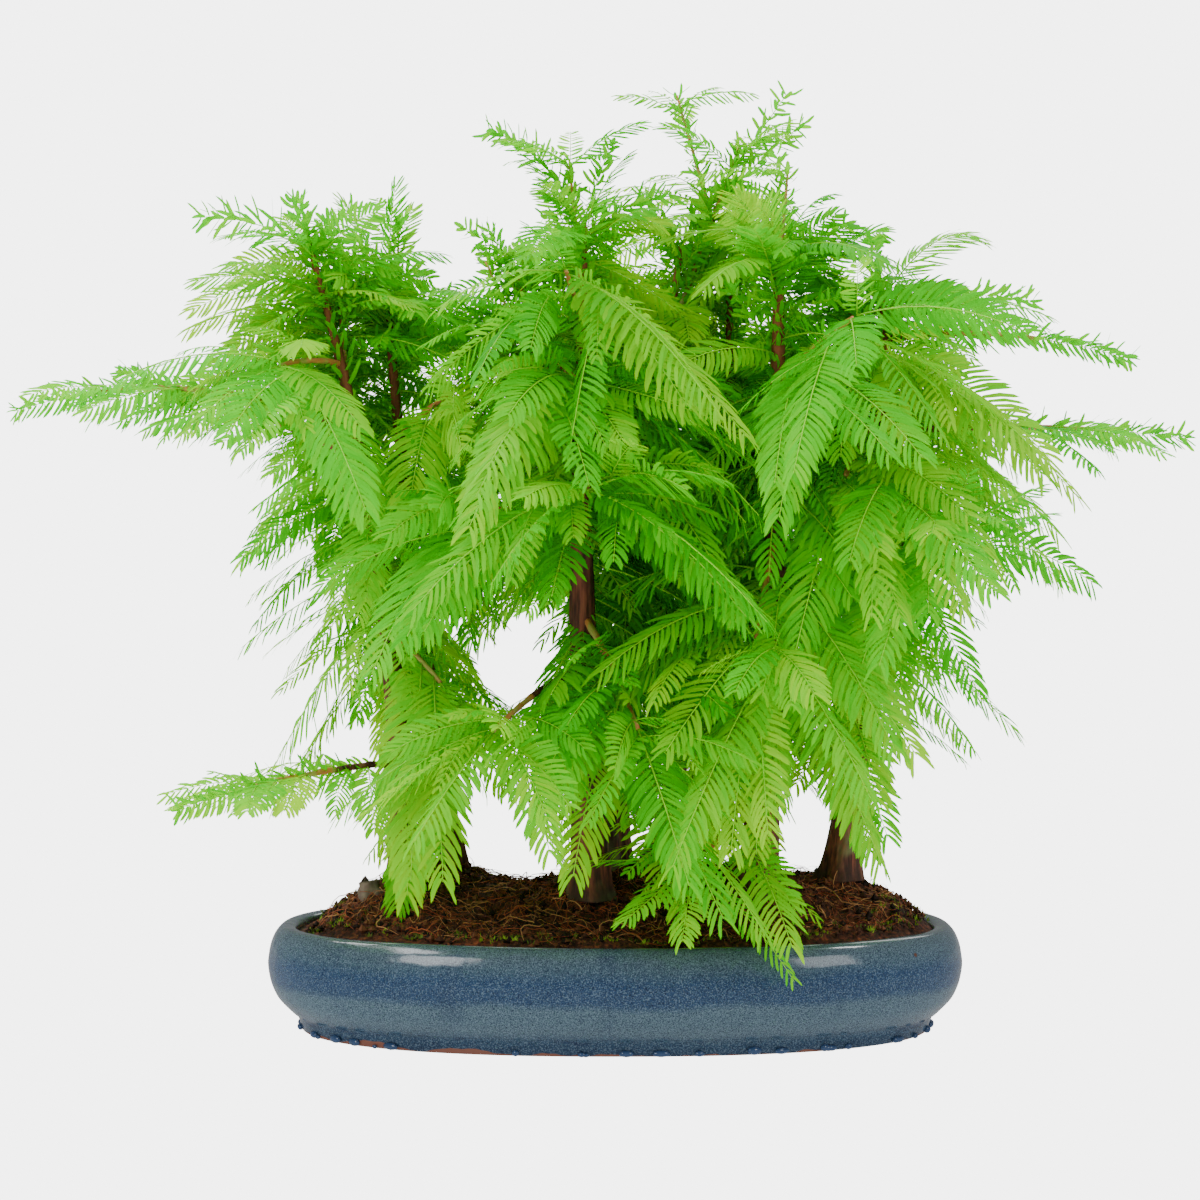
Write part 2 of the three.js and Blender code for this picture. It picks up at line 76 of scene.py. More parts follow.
# Stems as the model's source states them, in millimetres: foot (x, y), tip (x, y, z), how late the lean
# comes, sideways bow, radius low and high
TRUNKS = [
    ("left", (-110, -8), (-160, 0, 408), 2.0, 0, 6.4, 1.6),
    ("left_back", (-86, 34), (-123, 30, 396), 1.3, -6, 5.4, 1.6),
    ("front", (-12, -36), (-16, -36, 414), 1.0, -3, 8.8, 1.5),
    ("centre", (-3, -4), (-50, -10, 392), 1.5, 0, 5.2, 1.8),
    ("back", (2, 40), (36, 44, 412), 1.5, 0, 5.6, 1.6),
    ("far", (20, 58), (62, 56, 404), 1.0, 16, 5.2, 1.6),
    ("right_front", (72, -32), (83, -30, 396), 1.0, 4, 8.8, 2.2),
    ("right", (117, 8), (141, 10, 380), 1.0, 8, 8.2, 1.7),
]
STEMS = {trunk[0]: trunk for trunk in TRUNKS}

# Ways of growing: length of a frond in millimetres, angle between frond and stem, turn from each pair of
# fronds to the next, rise of a frond, and how far its weight bows it
HABITS = {
    "reaching": (62, 42, 0, 0, 0.22),
    "spreading": (112, 52, 0, -16, 0.38),
    "hanging": (112, 44, 0, -46, 0.24),
    "low": (86, 50, 0, -30, 0.26),
    "upright": (84, 90, 65, 12, 0.42),
    "short": (84, 54, 0, -16, 0.34),
    "small": (60, 52, 0, -22, 0.26),
}

# Limbs: name, stem and height on it from 0 to 1, bearing and rise in degrees, length in millimetres, sag,
# the share that is a bare bough, and the way of growing
LIMBS = [
    ("far_left", "left", 0.7, 187, 25, 194, 0.37, 0.34, "reaching"),
    ("mid_left", "left", 0.66, 176, 26, 144, 0.11, 0.3, "reaching"),
    ("top_left", "left", 0.75, 123, 77, 84, 0, 0, "upright"),
    ("side_left", "left", 0.58, 151, 32, 54, 0.36, 0, "small"),
    ("left_bright", "left", 0.81, 239, 5, 113, 0.39, 0, "spreading"),
    ("reach_left", "left", 0.19, 227, 0, 146, 0.11, 0.3, "reaching"),
    ("hang_left", "left_back", 0.24, 310, -71, 60, 0.72, 0, "low"),
    ("droop_left", "left", 0.39, 318, -22, 92, 0.49, 0, "hanging"),
    ("inner_left", "left_back", 0.73, 314, 28, 125, 0.18, 0, "spreading"),
    ("rear_left", "left_back", 0.73, 95, 17, 138, 0.26, 0, "spreading"),
    ("crest_left", "left_back", 0.84, 57, 86, 75, 0, 0, "upright"),
    ("low_rear_left", "left_back", 0.6, 129, -80, 129, 0.46, 0, "hanging"),
    ("front_left", "front", 0.34, 237, -8, 147, 0.4, 0.32, "short"),
    ("front_wide", "front", 0.56, 199, 14, 139, 0.43, 0, "spreading"),
    ("front_full", "front", 0.59, 273, 15, 137, 0.49, 0, "spreading"),
    ("front_hang", "front", 0.42, 294, -31, 145, 0.36, 0, "short"),
    ("front_low", "front", 0.31, 354, -66, 144, 0.14, 0, "spreading"),
    ("front_high", "front", 0.85, 257, 36, 97, 0.16, 0, "spreading"),
    ("front_crest", "front", 0.88, 219, 83, 74, 0, 0, "upright"),
    ("centre_front", "centre", 0.87, 290, -13, 136, 0.19, 0.36, "spreading"),
    ("centre_crest", "centre", 0.81, 187, 65, 72, 0, 0, "upright"),
    ("mid_front", "right_front", 0.57, 254, -42, 138, 0.45, 0, "spreading"),
    ("mid_hang", "right_front", 0.39, 271, 13, 112, 0.46, 0, "hanging"),
    ("mid_low", "centre", 0.41, 313, -47, 96, 0.26, 0, "spreading"),
    ("lowest", "right_front", 0.15, 234, -22, 133, 0, 0, "short"),
    ("mid_high", "right_front", 0.8, 311, 38, 148, 0.35, 0, "spreading"),
    ("mid_crest", "right_front", 0.94, 330, 85, 66, 0, 0, "upright"),
    ("tall_shoot", "back", 0.84, 4, 70, 116, 0, 0, "upright"),
    ("far_shoot", "far", 0.98, 170, 74, 105, 0, 0, "upright"),
    ("rear_full", "back", 0.52, 118, -2, 140, 0.24, 0, "spreading"),
    ("rear_right", "far", 0.53, 60, -21, 139, 0.48, 0, "spreading"),
    ("rear_high", "far", 0.76, 103, 30, 118, 0.01, 0, "spreading"),
    ("rear_low", "far", 0.4, 121, -44, 95, 0.06, 0, "hanging"),
    ("right_long", "right", 0.77, 358, 5, 161, 0.11, 0.34, "reaching"),
    ("right_upper", "right", 0.93, 344, 7, 130, 0.23, 0.3, "reaching"),
    ("right_crest", "right", 0.96, 30, 25, 113, 0.28, 0, "reaching"),
    ("right_mid", "right", 0.56, 302, 11, 135, 0.06, 0, "spreading"),
    ("right_low", "right", 0.49, 313, -42, 56, 0.1, 0, "small"),
    ("right_hang", "right", 0.36, 228, -34, 112, 0.5, 0, "short"),
    ("right_front", "right", 0.81, 245, -21, 140, 0.55, 0, "spreading"),
    ("right_bright", "right", 0.85, 266, 37, 108, 0.45, 0, "spreading"),
    ("right_crown", "right", 0.9, 130, 46, 132, 0.1, 0, "upright"),
    ("right_rear", "right", 0.81, 73, -18, 128, 0.36, 0, "spreading"),
]

# Young shoots and plumes near each stem's tip: share of the stem's height, bearing and rise in degrees,
# length in millimetres, sag
YOUNG_SHOOTS = {
    "left": [(0.99, 176, 32, 70, 0.28), (0.97, 20, 62, 44, 0.2)],
    "front": [(1.0, 180, 60, 98, 0.4), (1.0, 350, 72, 48, 0.1), (0.98, 10, 40, 62, 0.3)],
    "centre": [(0.99, 170, 52, 50, 0.25)],
    "back": [(0.99, 150, 60, 50, 0.2), (1.0, 4, 56, 104, 0.02), (1.0, 9, 51, 108, 0.14)],
    "right_front": [(1.0, 90, 84, 56, 0.0), (0.98, 190, 60, 44, 0.2), (0.97, 350, 50, 56, 0.3)],
}
PLUMES = {
    "left": [
        (0.9, 350, 40, 60, 0.4), (0.93, 200, 30, 60, 0.35), (0.97, 160, 12, 56, 0.4),
        (0.96, 340, 20, 48, 0.4),
    ],
    "left_back": [
        (0.97, 200, 66, 60, 0.12), (0.98, 300, 78, 60, 0.1), (0.96, 350, 48, 58, 0.3),
        (0.93, 160, 40, 58, 0.3), (0.99, 20, 72, 52, 0.2),
    ],
    "front": [
        (0.95, 330, 48, 60, 0.4), (0.96, 210, 40, 64, 0.4), (0.98, 200, 62, 60, 0.3),
        (0.99, 340, 66, 58, 0.3), (0.93, 190, 16, 60, 0.4), (0.66, 318, 4, 96, 0.8),
        (0.58, 335, 0, 92, 0.8),
    ],
    "centre": [(0.98, 200, 40, 54, 0.3), (0.97, 170, 14, 56, 0.4)],
    "back": [
        (0.96, 340, 56, 60, 0.3), (0.98, 200, 50, 50, 0.3), (0.6, 290, 2, 96, 0.8),
        (0.52, 262, 0, 90, 0.8),
    ],
    "far": [
        (0.95, 300, 60, 60, 0.3), (0.98, 350, 50, 54, 0.3), (0.62, 285, 0, 96, 0.8),
        (0.52, 300, 0, 88, 0.8),
    ],
    "right_front": [(0.95, 250, 50, 54, 0.3), (0.98, 350, 56, 54, 0.3)],
    "right": [
        (0.97, 200, 50, 50, 0.3), (1.0, 5, 58, 96, 0.5), (1.0, 352, 50, 84, 0.62),
        (0.98, 348, 40, 74, 0.8),
    ],
}

# Gaps of the crown and bright or dark places in it, in millimetres as the eye sees them on the plane of
# the stems: x, z, half width and half height of a gap, and x, z, reach and added freshness of a place
OPENINGS = np.array([
    (-234, 279, 56, 24), (226, 200, 44, 32), (214, 340, 34, 20), (-52, 196, 16, 24),
    (-60, 100, 22, 20), (100, 104, 14, 24), (-148, 172, 16, 11), (-76, 416, 22, 24),
    (-150, 84, 22, 18), (156, 116, 14, 32), (122, 456, 20, 16), (262, 276, 24, 12),
    (38, 90, 14, 14), (-22, 100, 10, 20), (204, 396, 22, 13), (60, 60, 14, 20),
], float)
FRESH_PLACES = np.array([
    (149, 289, 46, 0.16), (165, 336, 30, 0.2), (-112, 244, 48, 0.08), (-130, 118, 70, 0.2),
    (70, 80, 70, 0.2), (60, 440, 60, 0.16), (24, 250, 44, -0.2), (-42, 190, 36, 0.12),
    (100, 220, 40, 0.08), (-230, 120, 50, 0.4), (42, 108, 40, 0.16), (-170, 380, 55, 0.3),
    (20, 385, 50, 0.28), (-42, 318, 40, 0.2), (86, 312, 40, -0.16), (24, 68, 34, 0.2),
])
EYE = np.array([-7.8, -1358, 221.5])

# Places where a stem shows through: stem, share of its height, half width and half height in millimetres
SEEN_WOOD = [
    ("left", 0.84, 14, 24), ("left", 0.96, 10, 12), ("left_back", 0.8, 14, 20),
    ("centre", 0.97, 10, 9), ("front", 0.93, 12, 22), ("back", 0.96, 12, 16),
    ("far", 0.92, 12, 20), ("right_front", 0.9, 13, 26), ("right", 0.96, 10, 10),
    ("front", 0.47, 12, 20), ("left_back", 0.71, 10, 10),
]

# Soil and pot as the model's source states them, in millimetres
POT_SQUARENESS = 2.3
SOIL_EDGE, SOIL_CROWN, SOIL_RISE, SOIL_RIDGE = 50, 4, 24, 22
SOIL_SLOPE, SOIL_LENGTH, SOIL_FLATNESS = 118, 332, 4
HEAP_RISE, HEAP_REACH = 7, 22
FOOT_DEPTH = 4
POT_PROFILE = np.array([
    (19, 0), (17.6, 0.5), (16.9, 2), (15.6, 6.4), (14.6, 8.2), (12.2, 10), (5.9, 16.5), (3.0, 21.5),
    (1.1, 27), (0, 34), (0.4, 39), (1.3, 44), (2.9, 48.4), (4.6, 51.2), (6.6, 53.2), (9.0, 54),
    (12.2, 53.8), (14.4, 52.6), (14.9, 49), (12.4, 42), (10.6, 34), (14, 20), (26, 9),
])
POT_TOP = POT_PROFILE[:, 1].max()

# The model's rule for fronds
PAIRS = 3
TRUNK_TAPER, FLARE, FLARE_HEIGHT, RIDGES, RIDGE_DEPTH = 1.3, 0.55, 14, 4, 0.16
END_SHARE, MOST_END, ROOT_SINK = 0.8, 0.55, 4
STEEP, LEADER_ROLL = 45, 65
FIRST_FROND, PAST_BOUGH = 16, 0.07
RIGHT_STEP, LEFT_STEP, STEP_SPREAD = 0.2, 0.66, 0.14
FROND_TAPER, FULL_LENGTH_AT, LENGTH_SPREAD = 0.22, 0.2, 0.24
BEARING_SPREAD, RISE_SPREAD, ROLL_SPREAD = 14, 16, 40

LINE = np.dtype([
    ("start", "f8", 3), ("bearing", "f8"), ("rise", "f8"), ("length", "f8"),
    ("sag", "f8"), ("roll", "f8"), ("seed", "f8"),
])


# Numbers that scatter the draws of chance and the corners of smooth noise
FIRST_WAVE, SECOND_WAVE, WAVE_HEIGHT = 12.9898, 78.233, 43758.5453
CORNER_WAVES, SEED_WAVE = (127.1, 311.7, 74.7), 19.19


def fraction(value):
    """What a value has above the next lower whole number."""
    return value - np.floor(value)


def chance(first, second):
    """A repeatable random number from 0 to 1: the fraction of a large sine of both numbers."""
    return fraction(np.sin(np.asarray(first) * FIRST_WAVE + np.asarray(second) * SECOND_WAVE) * WAVE_HEIGHT)


def smooth_noise(points, size, seed=0.0):
    """A smooth random field from 0 to 1 over points of any number of axes.

    Each corner of a lattice with cells of the given size gets a random value, and inside a cell the
    values blend along each axis by 3t^2 - 2t^3.
    """
    cell = np.asarray(points) / size
    low = np.floor(cell)
    part = cell - low
    part = part * part * (3 - 2 * part)
    axes = cell.shape[-1]
    total = np.zeros(cell.shape[:-1])
    for corner in np.ndindex(*(2,) * axes):
        wave = np.sin((low + corner) @ np.array(CORNER_WAVES[:axes]) + seed * SEED_WAVE) * WAVE_HEIGHT
        total += np.prod(np.where(corner, part, 1 - part), axis=-1) * fraction(wave)
    return total


def unit(vectors):
    """The vectors divided by their lengths."""
    return vectors / np.linalg.norm(vectors, axis=-1, keepdims=True)


def full_turn(count):
    """So many angles, evenly spaced over a full turn."""
    return np.arange(count) * 2 * np.pi / count


def ways(angle):
    """Level directions at angles: cosine and sine."""
    return np.stack([np.cos(angle), np.sin(angle)], axis=-1)


def quarter_turn(way):
    """Level directions turned left by 90 degrees."""
    return np.stack([-way[..., 1], way[..., 0]], axis=-1)


def raised(level, height):
    """Points from level places and their heights."""
    return np.concatenate([level, height[..., None]], axis=-1)


def drum(angle, radius, height):
    """Points on an upright drum, on which patterns that wrap round a stem are read."""
    return np.stack(np.broadcast_arrays(radius * np.cos(angle), radius * np.sin(angle), height), axis=-1)


# Places on the model


def half_axes(inset):
    """Half length and half width of the pot's oval, less an inset."""
    low, high = (np.array(corner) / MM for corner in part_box("pot"))
    return (high - low)[:2] / 2 - inset


def oval(inset, angle):
    """The pot's oval in millimetres, drawn in by an inset.

    The cosine and sine of the angle are raised to 2 / squareness with their signs kept, and multiplied
    by the half length and half width less the inset.
    """
    way = ways(angle)
    return np.sign(way) * np.abs(way) ** (2 / POT_SQUARENESS) * half_axes(np.expand_dims(inset, -1))


def oval_reach(level, inset):
    """How far out places lie in the drawn-in oval, 1 at its edge: the sum of x and y, each as a share of
    its half axis raised to the squareness."""
    return np.sum(np.abs(level / half_axes(inset)) ** POT_SQUARENESS, axis=-1)


def soil_height(x, y):
    """Height of the soil in millimetres: a cosine ridge along the pot, and a bell-shaped heap at each
    stem."""
    across = np.minimum(1, np.abs(y - SOIL_RIDGE) / SOIL_SLOPE)
    along = np.maximum(0, 1 - np.abs(2 * x / SOIL_LENGTH) ** SOIL_FLATNESS)
    mound = SOIL_RISE * 0.5 * (1 + np.cos(np.pi * across)) * along
    feet = np.array([foot for _, foot, *_ in TRUNKS])
    apart = np.hypot(np.expand_dims(x, -1) - feet[:, 0], np.expand_dims(y, -1) - feet[:, 1])
    return SOIL_EDGE + SOIL_CROWN + mound + HEAP_RISE * np.exp(-((np.min(apart, axis=-1) / HEAP_REACH) ** 2))


def trunk_point(trunk, share):
    """A stem's centre in millimetres: from foot to tip by the share to the power of its lateness, plus a
    sine bow."""
    _, foot, tip, late, bow, _, _ = trunk
    share = np.asarray(share, float)
    lean = share ** late
    ground = soil_height(*foot) - FOOT_DEPTH
    return np.stack([
        foot[0] + (tip[0] - foot[0]) * lean + bow * np.sin(np.pi * share),
        foot[1] + (tip[1] - foot[1]) * lean,
        ground + (tip[2] - ground) * share,
    ], axis=-1)


def trunk_radius(trunk, share, angle):
    """A stem's radius in millimetres: tapered by a power of the share, and flared near the foot by an
    exponential of the height that carries the root ridges."""
    *_, wide, thin = trunk
    height = (trunk_point(trunk, share) - trunk_point(trunk, 0))[..., 2]
    taper = wide + (thin - wide) * share ** TRUNK_TAPER
    ridge = FLARE + RIDGE_DEPTH * np.cos(RIDGES * angle)
    return taper * (1 + np.exp(-height / FLARE_HEIGHT) * ridge)


# Bowed lines: limbs, fronds and shoots, all in millimetres


def lines_of(start, **values):
    """One record for each line: its start, bearing, rise, length, sag, roll and seed."""
    shape = np.broadcast_shapes(np.shape(start)[:-1], *(np.shape(value) for value in values.values()))
    lines = np.zeros(shape, LINE)
    lines["start"] = start
    for name, value in values.items():
        lines[name] = value
    return lines.ravel()


def line_point(line, share):
    """Points of bowed lines: along the bearing and rise, lowered by sag times the square of the share."""
    bearing, rise = np.radians(line["bearing"]), np.radians(line["rise"])
    level = np.cos(rise) * line["length"] * share
    height = line["length"] * (np.sin(rise) * share - line["sag"] * share ** 2)
    return line["start"] + np.stack([np.cos(bearing) * level, np.sin(bearing) * level, height], axis=-1)


def line_axes(line, share):
    """Direction of bowed lines, their side direction turned by the roll, and their upper direction."""
    bearing, rise = np.radians(line["bearing"]), np.radians(line["rise"])
    roll = np.radians(line["roll"])[..., None]
    level = np.cos(rise) * np.ones_like(share)
    slope = np.sin(rise) - 2 * line["sag"] * share
    along = unit(np.stack([np.cos(bearing) * level, np.sin(bearing) * level, slope], axis=-1))
    side = np.stack(np.broadcast_arrays(-np.sin(bearing), np.cos(bearing), 0 * share), axis=-1)
    side = side * np.cos(roll) + np.cross(along, side) * np.sin(roll)
    return along, side, np.cross(along, side)


def line_rings(lines, shares, radii, sides):
    """Rings of corners round bowed lines: at each share the radius times cosine along the side direction
    plus the radius times sine along the upper direction."""
    line = lines[:, None]
    _, side, upper = line_axes(line, shares)
    angle = full_turn(sides)[:, None]
    corner = side[..., None, :] * np.cos(angle) + upper[..., None, :] * np.sin(angle)
    return line_point(line, shares)[..., None, :] + corner * np.asarray(radii)[..., None]


# Meshes from arrays


def closed_tubes(rings):
    """Points and faces of closed tubes from an array of tubes by rings by corners.

    Four-cornered faces join neighbouring rings, and one flat face closes each end.
    """
    tubes, rows, columns = rings.shape[:3]
    number = np.arange(tubes * rows * columns).reshape(tubes, rows, columns)
    near, far = number[:, :-1], number[:, 1:]
    walls = np.stack([near, np.roll(near, -1, axis=2), np.roll(far, -1, axis=2), far], axis=-1)
    ends = np.concatenate([number[:, 0, ::-1], number[:, -1]])
    return rings.reshape(-1, 3), [walls.reshape(-1, 4), ends]


def add_piece(name, points, faces, materials, tints=None, smooth=True, replaced=()):
    """A mesh piece from points in millimetres and arrays of faces with one number of corners each.

    The tints give each array of faces its materials' numbers. The piece rides on the model's one body and
    takes the place of the nodes that it stands for.
    """
    mesh = bpy.data.meshes.new(name)
    corners = np.concatenate([group.ravel() for group in faces])
    sizes = np.concatenate([np.full(len(group), group.shape[1]) for group in faces])
    mesh.vertices.add(len(points))
    mesh.vertices.foreach_set("co", (np.asarray(points) * MM).astype(np.float32).ravel())
    mesh.loops.add(len(corners))
    mesh.loops.foreach_set("vertex_index", corners.astype(np.int32))
    mesh.polygons.add(len(sizes))
    mesh.polygons.foreach_set("loop_start", (np.cumsum(sizes) - sizes).astype(np.int32))
    mesh.polygons.foreach_set("use_smooth", np.full(len(sizes), smooth))
    for material in materials:
        mesh.materials.append(material)
    if tints is not None:
        mesh.polygons.foreach_set("material_index", np.concatenate(tints).astype(np.int32))
    mesh.update(calc_edges=True)
    mesh.validate()
    piece = bpy.data.objects.new(name, mesh)
    bpy.context.scene.collection.objects.link(piece)
    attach(piece, "root")
    if replaced:
        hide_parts(*replaced)


def add_tubes(name, rings, materials, tints=None, replaced=()):
    """A piece of closed tubes."""
    points, faces = closed_tubes(rings)
    add_piece(name, points, faces, materials, tints=tints, replaced=replaced)


# Materials

# Sockets of a Mix node that mixes colours: factor, first and second colour, and its output
MIX_FACTOR, MIX_FIRST, MIX_SECOND, MIX_COLOR = 0, 6, 7, 2


def tone(red, green, blue):
    """A linear colour from the 0 to 255 values of a picture, by the sRGB curve."""
    shares = np.array([red, green, blue]) / 255
    return tuple(float(value) for value in np.where(
        shares <= 0.04045, shares / 12.92, ((shares + 0.055) / 1.055) ** 2.4))


class Field:
    """A node's output that takes part in sums: each operator adds its Math node."""

    def __init__(self, finish, socket):
        self.finish = finish
        self.socket = socket

    def worked(self, operation, first, second):
        return self.finish.node("ShaderNodeMath", {0: first, 1: second}, operation=operation)

    def __add__(self, other):
        return self.worked("ADD", self, other)

    def __sub__(self, other):
        return self.worked("SUBTRACT", self, other)

    def __mul__(self, other):
        return self.worked("MULTIPLY", self, other)

    def __truediv__(self, other):
        return self.worked("DIVIDE", self, other)

    def __lt__(self, other):
        return self.worked("LESS_THAN", self, other)

    def __rsub__(self, other):
        return self.worked("SUBTRACT", other, self)

    __radd__ = __add__
    __rmul__ = __mul__


class Finish:
    """A material in the making, with one method that adds any node."""

    def __init__(self, name):
        self.material = bpy.data.materials.new(name)
        self.material.use_nodes = True
        self.tree = self.material.node_tree
        self.tree.nodes.clear()

    def node(self, kind, sockets, output=0, stops=None, **settings):
        """One node: its settings and ramp stops first, then the values or links of its sockets."""
        node = self.tree.nodes.new(kind)
        for name, value in settings.items():
            setattr(node, name, value)
        if stops:
            ramp = node.color_ramp
            while len(ramp.elements) < len(stops):
                ramp.elements.new(1.0)
            for element, (place, color) in zip(ramp.elements, stops):
                element.position = place
                element.color = (*color, 1.0)
        for name, value in sockets.items():
            socket = node.inputs[name]
            if isinstance(value, Field):
                self.tree.links.new(value.socket, socket)
            elif socket.type == "RGBA":
                socket.default_value = (*value, 1.0)
            else:
                socket.default_value = value
        return Field(self, node.outputs[output])

    def place(self, scale=(1.0, 1.0, 1.0)):
        """Object coordinates, stretched by a scale."""
        where = self.node("ShaderNodeTexCoord", {}, output="Object")
        return self.node("ShaderNodeMapping", {"Vector": where, "Scale": scale})

    def height(self):
        """The height above the ground in metres."""
        where = self.node("ShaderNodeTexCoord", {}, output="Object")
        return self.node("ShaderNodeSeparateXYZ", {"Vector": where}, output="Z")

    def noise(self, scale, detail=2.0, stretch=(1.0, 1.0, 1.0), roughness=0.5):
        """A cloudy pattern from 0 to 1 with so many clouds a metre."""
        return self.node("ShaderNodeTexNoise", {
            "Vector": self.place(stretch), "Scale": scale, "Detail": detail, "Roughness": roughness})

    def ramp(self, value, stops):
        """Colours along a value, from a list of places and colours."""
        return self.node("ShaderNodeValToRGB", {"Fac": value}, stops=stops)

    def mixed(self, factor, first, second):
        """The first colour turning into the second as the factor goes from 0 to 1."""
        return self.node(
            "ShaderNodeMix", {MIX_FACTOR: factor, MIX_FIRST: first, MIX_SECOND: second},
            output=MIX_COLOR, data_type="RGBA")

    def step(self, value, low, high):
        """0 below the low value, 1 above the high one, smooth between them."""
        return self.node("ShaderNodeMapRange", {
            "Value": value, "From Min": low, "From Max": high}, interpolation_type="SMOOTHSTEP")

    def bump(self, height, distance, strength=1.0):
        """A relief of so many metres for a height from 0 to 1."""
        return self.node("ShaderNodeBump", {"Height": height, "Distance": distance, "Strength": strength})

    def done(self, **sockets):
        """The material, with these sockets of its Principled shader."""
        names = {
            name.replace("_", " ").title().replace("Ior", "IOR"): value for name, value in sockets.items()}
        self.surface(self.node("ShaderNodeBsdfPrincipled", names))
        return self.material

    def surface(self, shader):
        """Leads a shader to the surface."""
        out = self.tree.nodes.new("ShaderNodeOutputMaterial")
        self.tree.links.new(shader.socket, out.inputs["Surface"])


# Stretches of a pattern: streaks that run down the wall, flat ovals of painted reflection, strips and flakes
# of bark, patches of a twig
STREAKS, REFLECTION_OVALS, STRIPS, FLAKES, PATCHES = (
    (1.0, 1.0, height) for height in (0.14, 5.0, 0.09, 0.3, 0.5))

# Colours of the glaze: dark blue of runs and of painted reflections, dark grains, light grains and pinholes
RUN_AND_REFLECTION_BLUE, INK_BLUE = tone(20, 36, 60), tone(12, 24, 44)
PALE_GREY, RUST = tone(104, 122, 134), tone(70, 46, 36)
# Soil on the stems' feet, pale flakes of bark
EARTH, PALE_BARK = tone(46, 35, 26), tone(138, 100, 76)

# The glaze's lower edge in metres: its tongues and what they have more on the left, its fraying, what it
# drops on the left and all round
EDGE_TONGUES, LEFT_TONGUES = 0.0045, 0.0095
EDGE_FRAY, LEFT_DROP, EDGE_DROP = 0.0024, 0.0034, 0.0026


def glaze_finish(pot):
    """Speckled glaze whose bands follow the height, bare clay under its ragged lower edge."""
    finish = Finish("speckled glaze")
    height = finish.height()
    clouds = finish.noise(26, 2)
    bands = finish.ramp(height / (POT_TOP * MM) + (clouds - 0.5) * 0.14, [
        (0.0, tone(24, 42, 64)), (0.12, tone(30, 52, 72)), (0.24, pot.glaze_body), (0.45, pot.glaze_body),
        (0.53, pot.glaze_band), (0.7, pot.glaze_band), (0.8, tone(50, 68, 80)), (1.0, tone(64, 78, 82)),
    ])
    runs = finish.step(finish.noise(30, 1, STREAKS), 0.62, 0.72) * 0.5
    # Painted reflections: dark flat ovals on the glaze between about 5 and 10 mm up, in the runs' dark blue
    painted_reflections = finish.step(finish.noise(42, 1, REFLECTION_OVALS), 0.58, 0.64)
    painted_reflections = painted_reflections * finish.step(height, 0.0050, 0.0062) * (1 - finish.step(height, 0.0085, 0.0097))
    # The glaze's dark runs and the painted reflections, mixed into the bands in one dark blue
    marked = finish.mixed(runs + painted_reflections * 0.8, bands, RUN_AND_REFLECTION_BLUE)
    dark = finish.mixed(finish.step(finish.noise(2100, 1), 0.46, 0.66), marked, INK_BLUE)
    light = finish.mixed(finish.step(finish.noise(1600, 2), 0.47, 0.66) * 0.4, dark, PALE_GREY)
    holes = finish.node("ShaderNodeTexVoronoi", {"Vector": finish.place(), "Scale": 34.0}, output="Distance")
    spotted = finish.mixed((holes < 0.035) * 1.0, light, RUST)
    where = finish.node("ShaderNodeSeparateXYZ", {"Vector": finish.place()}, output="X")
    left = 1 - finish.step(where, -0.13, -0.02)
    tongues = finish.noise(34, 1) * (EDGE_TONGUES + left * LEFT_TONGUES)
    edge = tongues + finish.noise(150, 1) * EDGE_FRAY - left * LEFT_DROP - EDGE_DROP
    glazed = finish.step(height - edge, -0.0002, 0.0002)
    relief = finish.noise(64, 2) * (0.5 + left * 1.6) + finish.noise(700, 1) * 0.05 + glazed * 0.8
    return finish.done(
        base_color=finish.mixed(glazed, pot.clay, spotted),
        roughness=0.72 - glazed * (0.62 - clouds * 0.08),
        normal=finish.bump(relief, 0.0006, 0.5),
        specular_ior_level=0.36,
    )


def bark_finish(plant):
    """Bark in upright strips: ridges and grooves, soil and algae at the foot, fresh colour near the top."""
    finish = Finish("bark")
    height = finish.height()
    strips = finish.noise(260, 4, STRIPS, 0.62)
    flakes = finish.noise(90, 3, FLAKES)
    young = finish.step(height + (flakes - 0.5) * 0.06, 0.25, 0.4)
    old = finish.mixed(finish.step(strips, 0.36, 0.66), plant.bark_groove, plant.bark)
    brown = finish.mixed(young * 0.75, old, plant.young_bark)
    pale = finish.mixed(finish.step(flakes, 0.6, 0.8) * 0.45, brown, PALE_BARK)
    mossy = (1 - finish.step(height, 0.08, 0.17)) * finish.step(finish.noise(60, 2), 0.5, 0.7)
    soiled = 1 - finish.step(height + (flakes - 0.5) * 0.05, 0.07, 0.088)
    return finish.done(
        base_color=finish.mixed(soiled * 0.75, finish.mixed(mossy * 0.8, pale, plant.algae), EARTH),
        roughness=0.9 - strips * 0.25,
        normal=finish.bump(strips, 0.0012, 0.9),
        specular_ior_level=0.25,
    )


def soil_finish(soil):
    """Crumbs of soil in three browns, damp in places."""
    finish = Finish("potting soil")
    crumbs = finish.noise(420, 4, roughness=0.7)
    damp = finish.noise(38, 2)
    browns = [(0.34, tone(18, 9, 5)), (0.52, soil.soil), (0.72, tone(128, 68, 38))]
    return finish.done(
        base_color=finish.ramp(crumbs + (damp - 0.5) * 0.3, browns),
        roughness=0.96 - damp * 0.2,
        normal=finish.bump(crumbs, 0.0015, 1.0),
        specular_ior_level=0.2,
    )


def wood_finish():
    """Dead wood, brown and grey in upright strips."""
    finish = Finish("dead wood")
    color = finish.mixed(finish.noise(300, 3, FLAKES), tone(46, 33, 25), tone(128, 112, 98))
    return finish.done(base_color=color, roughness=0.9, specular_ior_level=0.1)


def twig_finish(plant):
    """Young twigs: orange brown, greener in patches."""
    finish = Finish("young twig")
    patches = finish.step(finish.noise(120, 2, PATCHES), 0.42, 0.62)
    color = finish.mixed(patches, plant.twig, tone(150, 140, 62))
    return finish.done(base_color=color, roughness=0.62, normal=finish.bump(finish.noise(900, 2), 0.0002))


def plain_finish(name, color, roughness, level=0.3):
    """One plain colour, for pieces whose colours are dealt out from piece to piece."""
    return Finish(name).done(base_color=color, roughness=roughness, specular_ior_level=level)


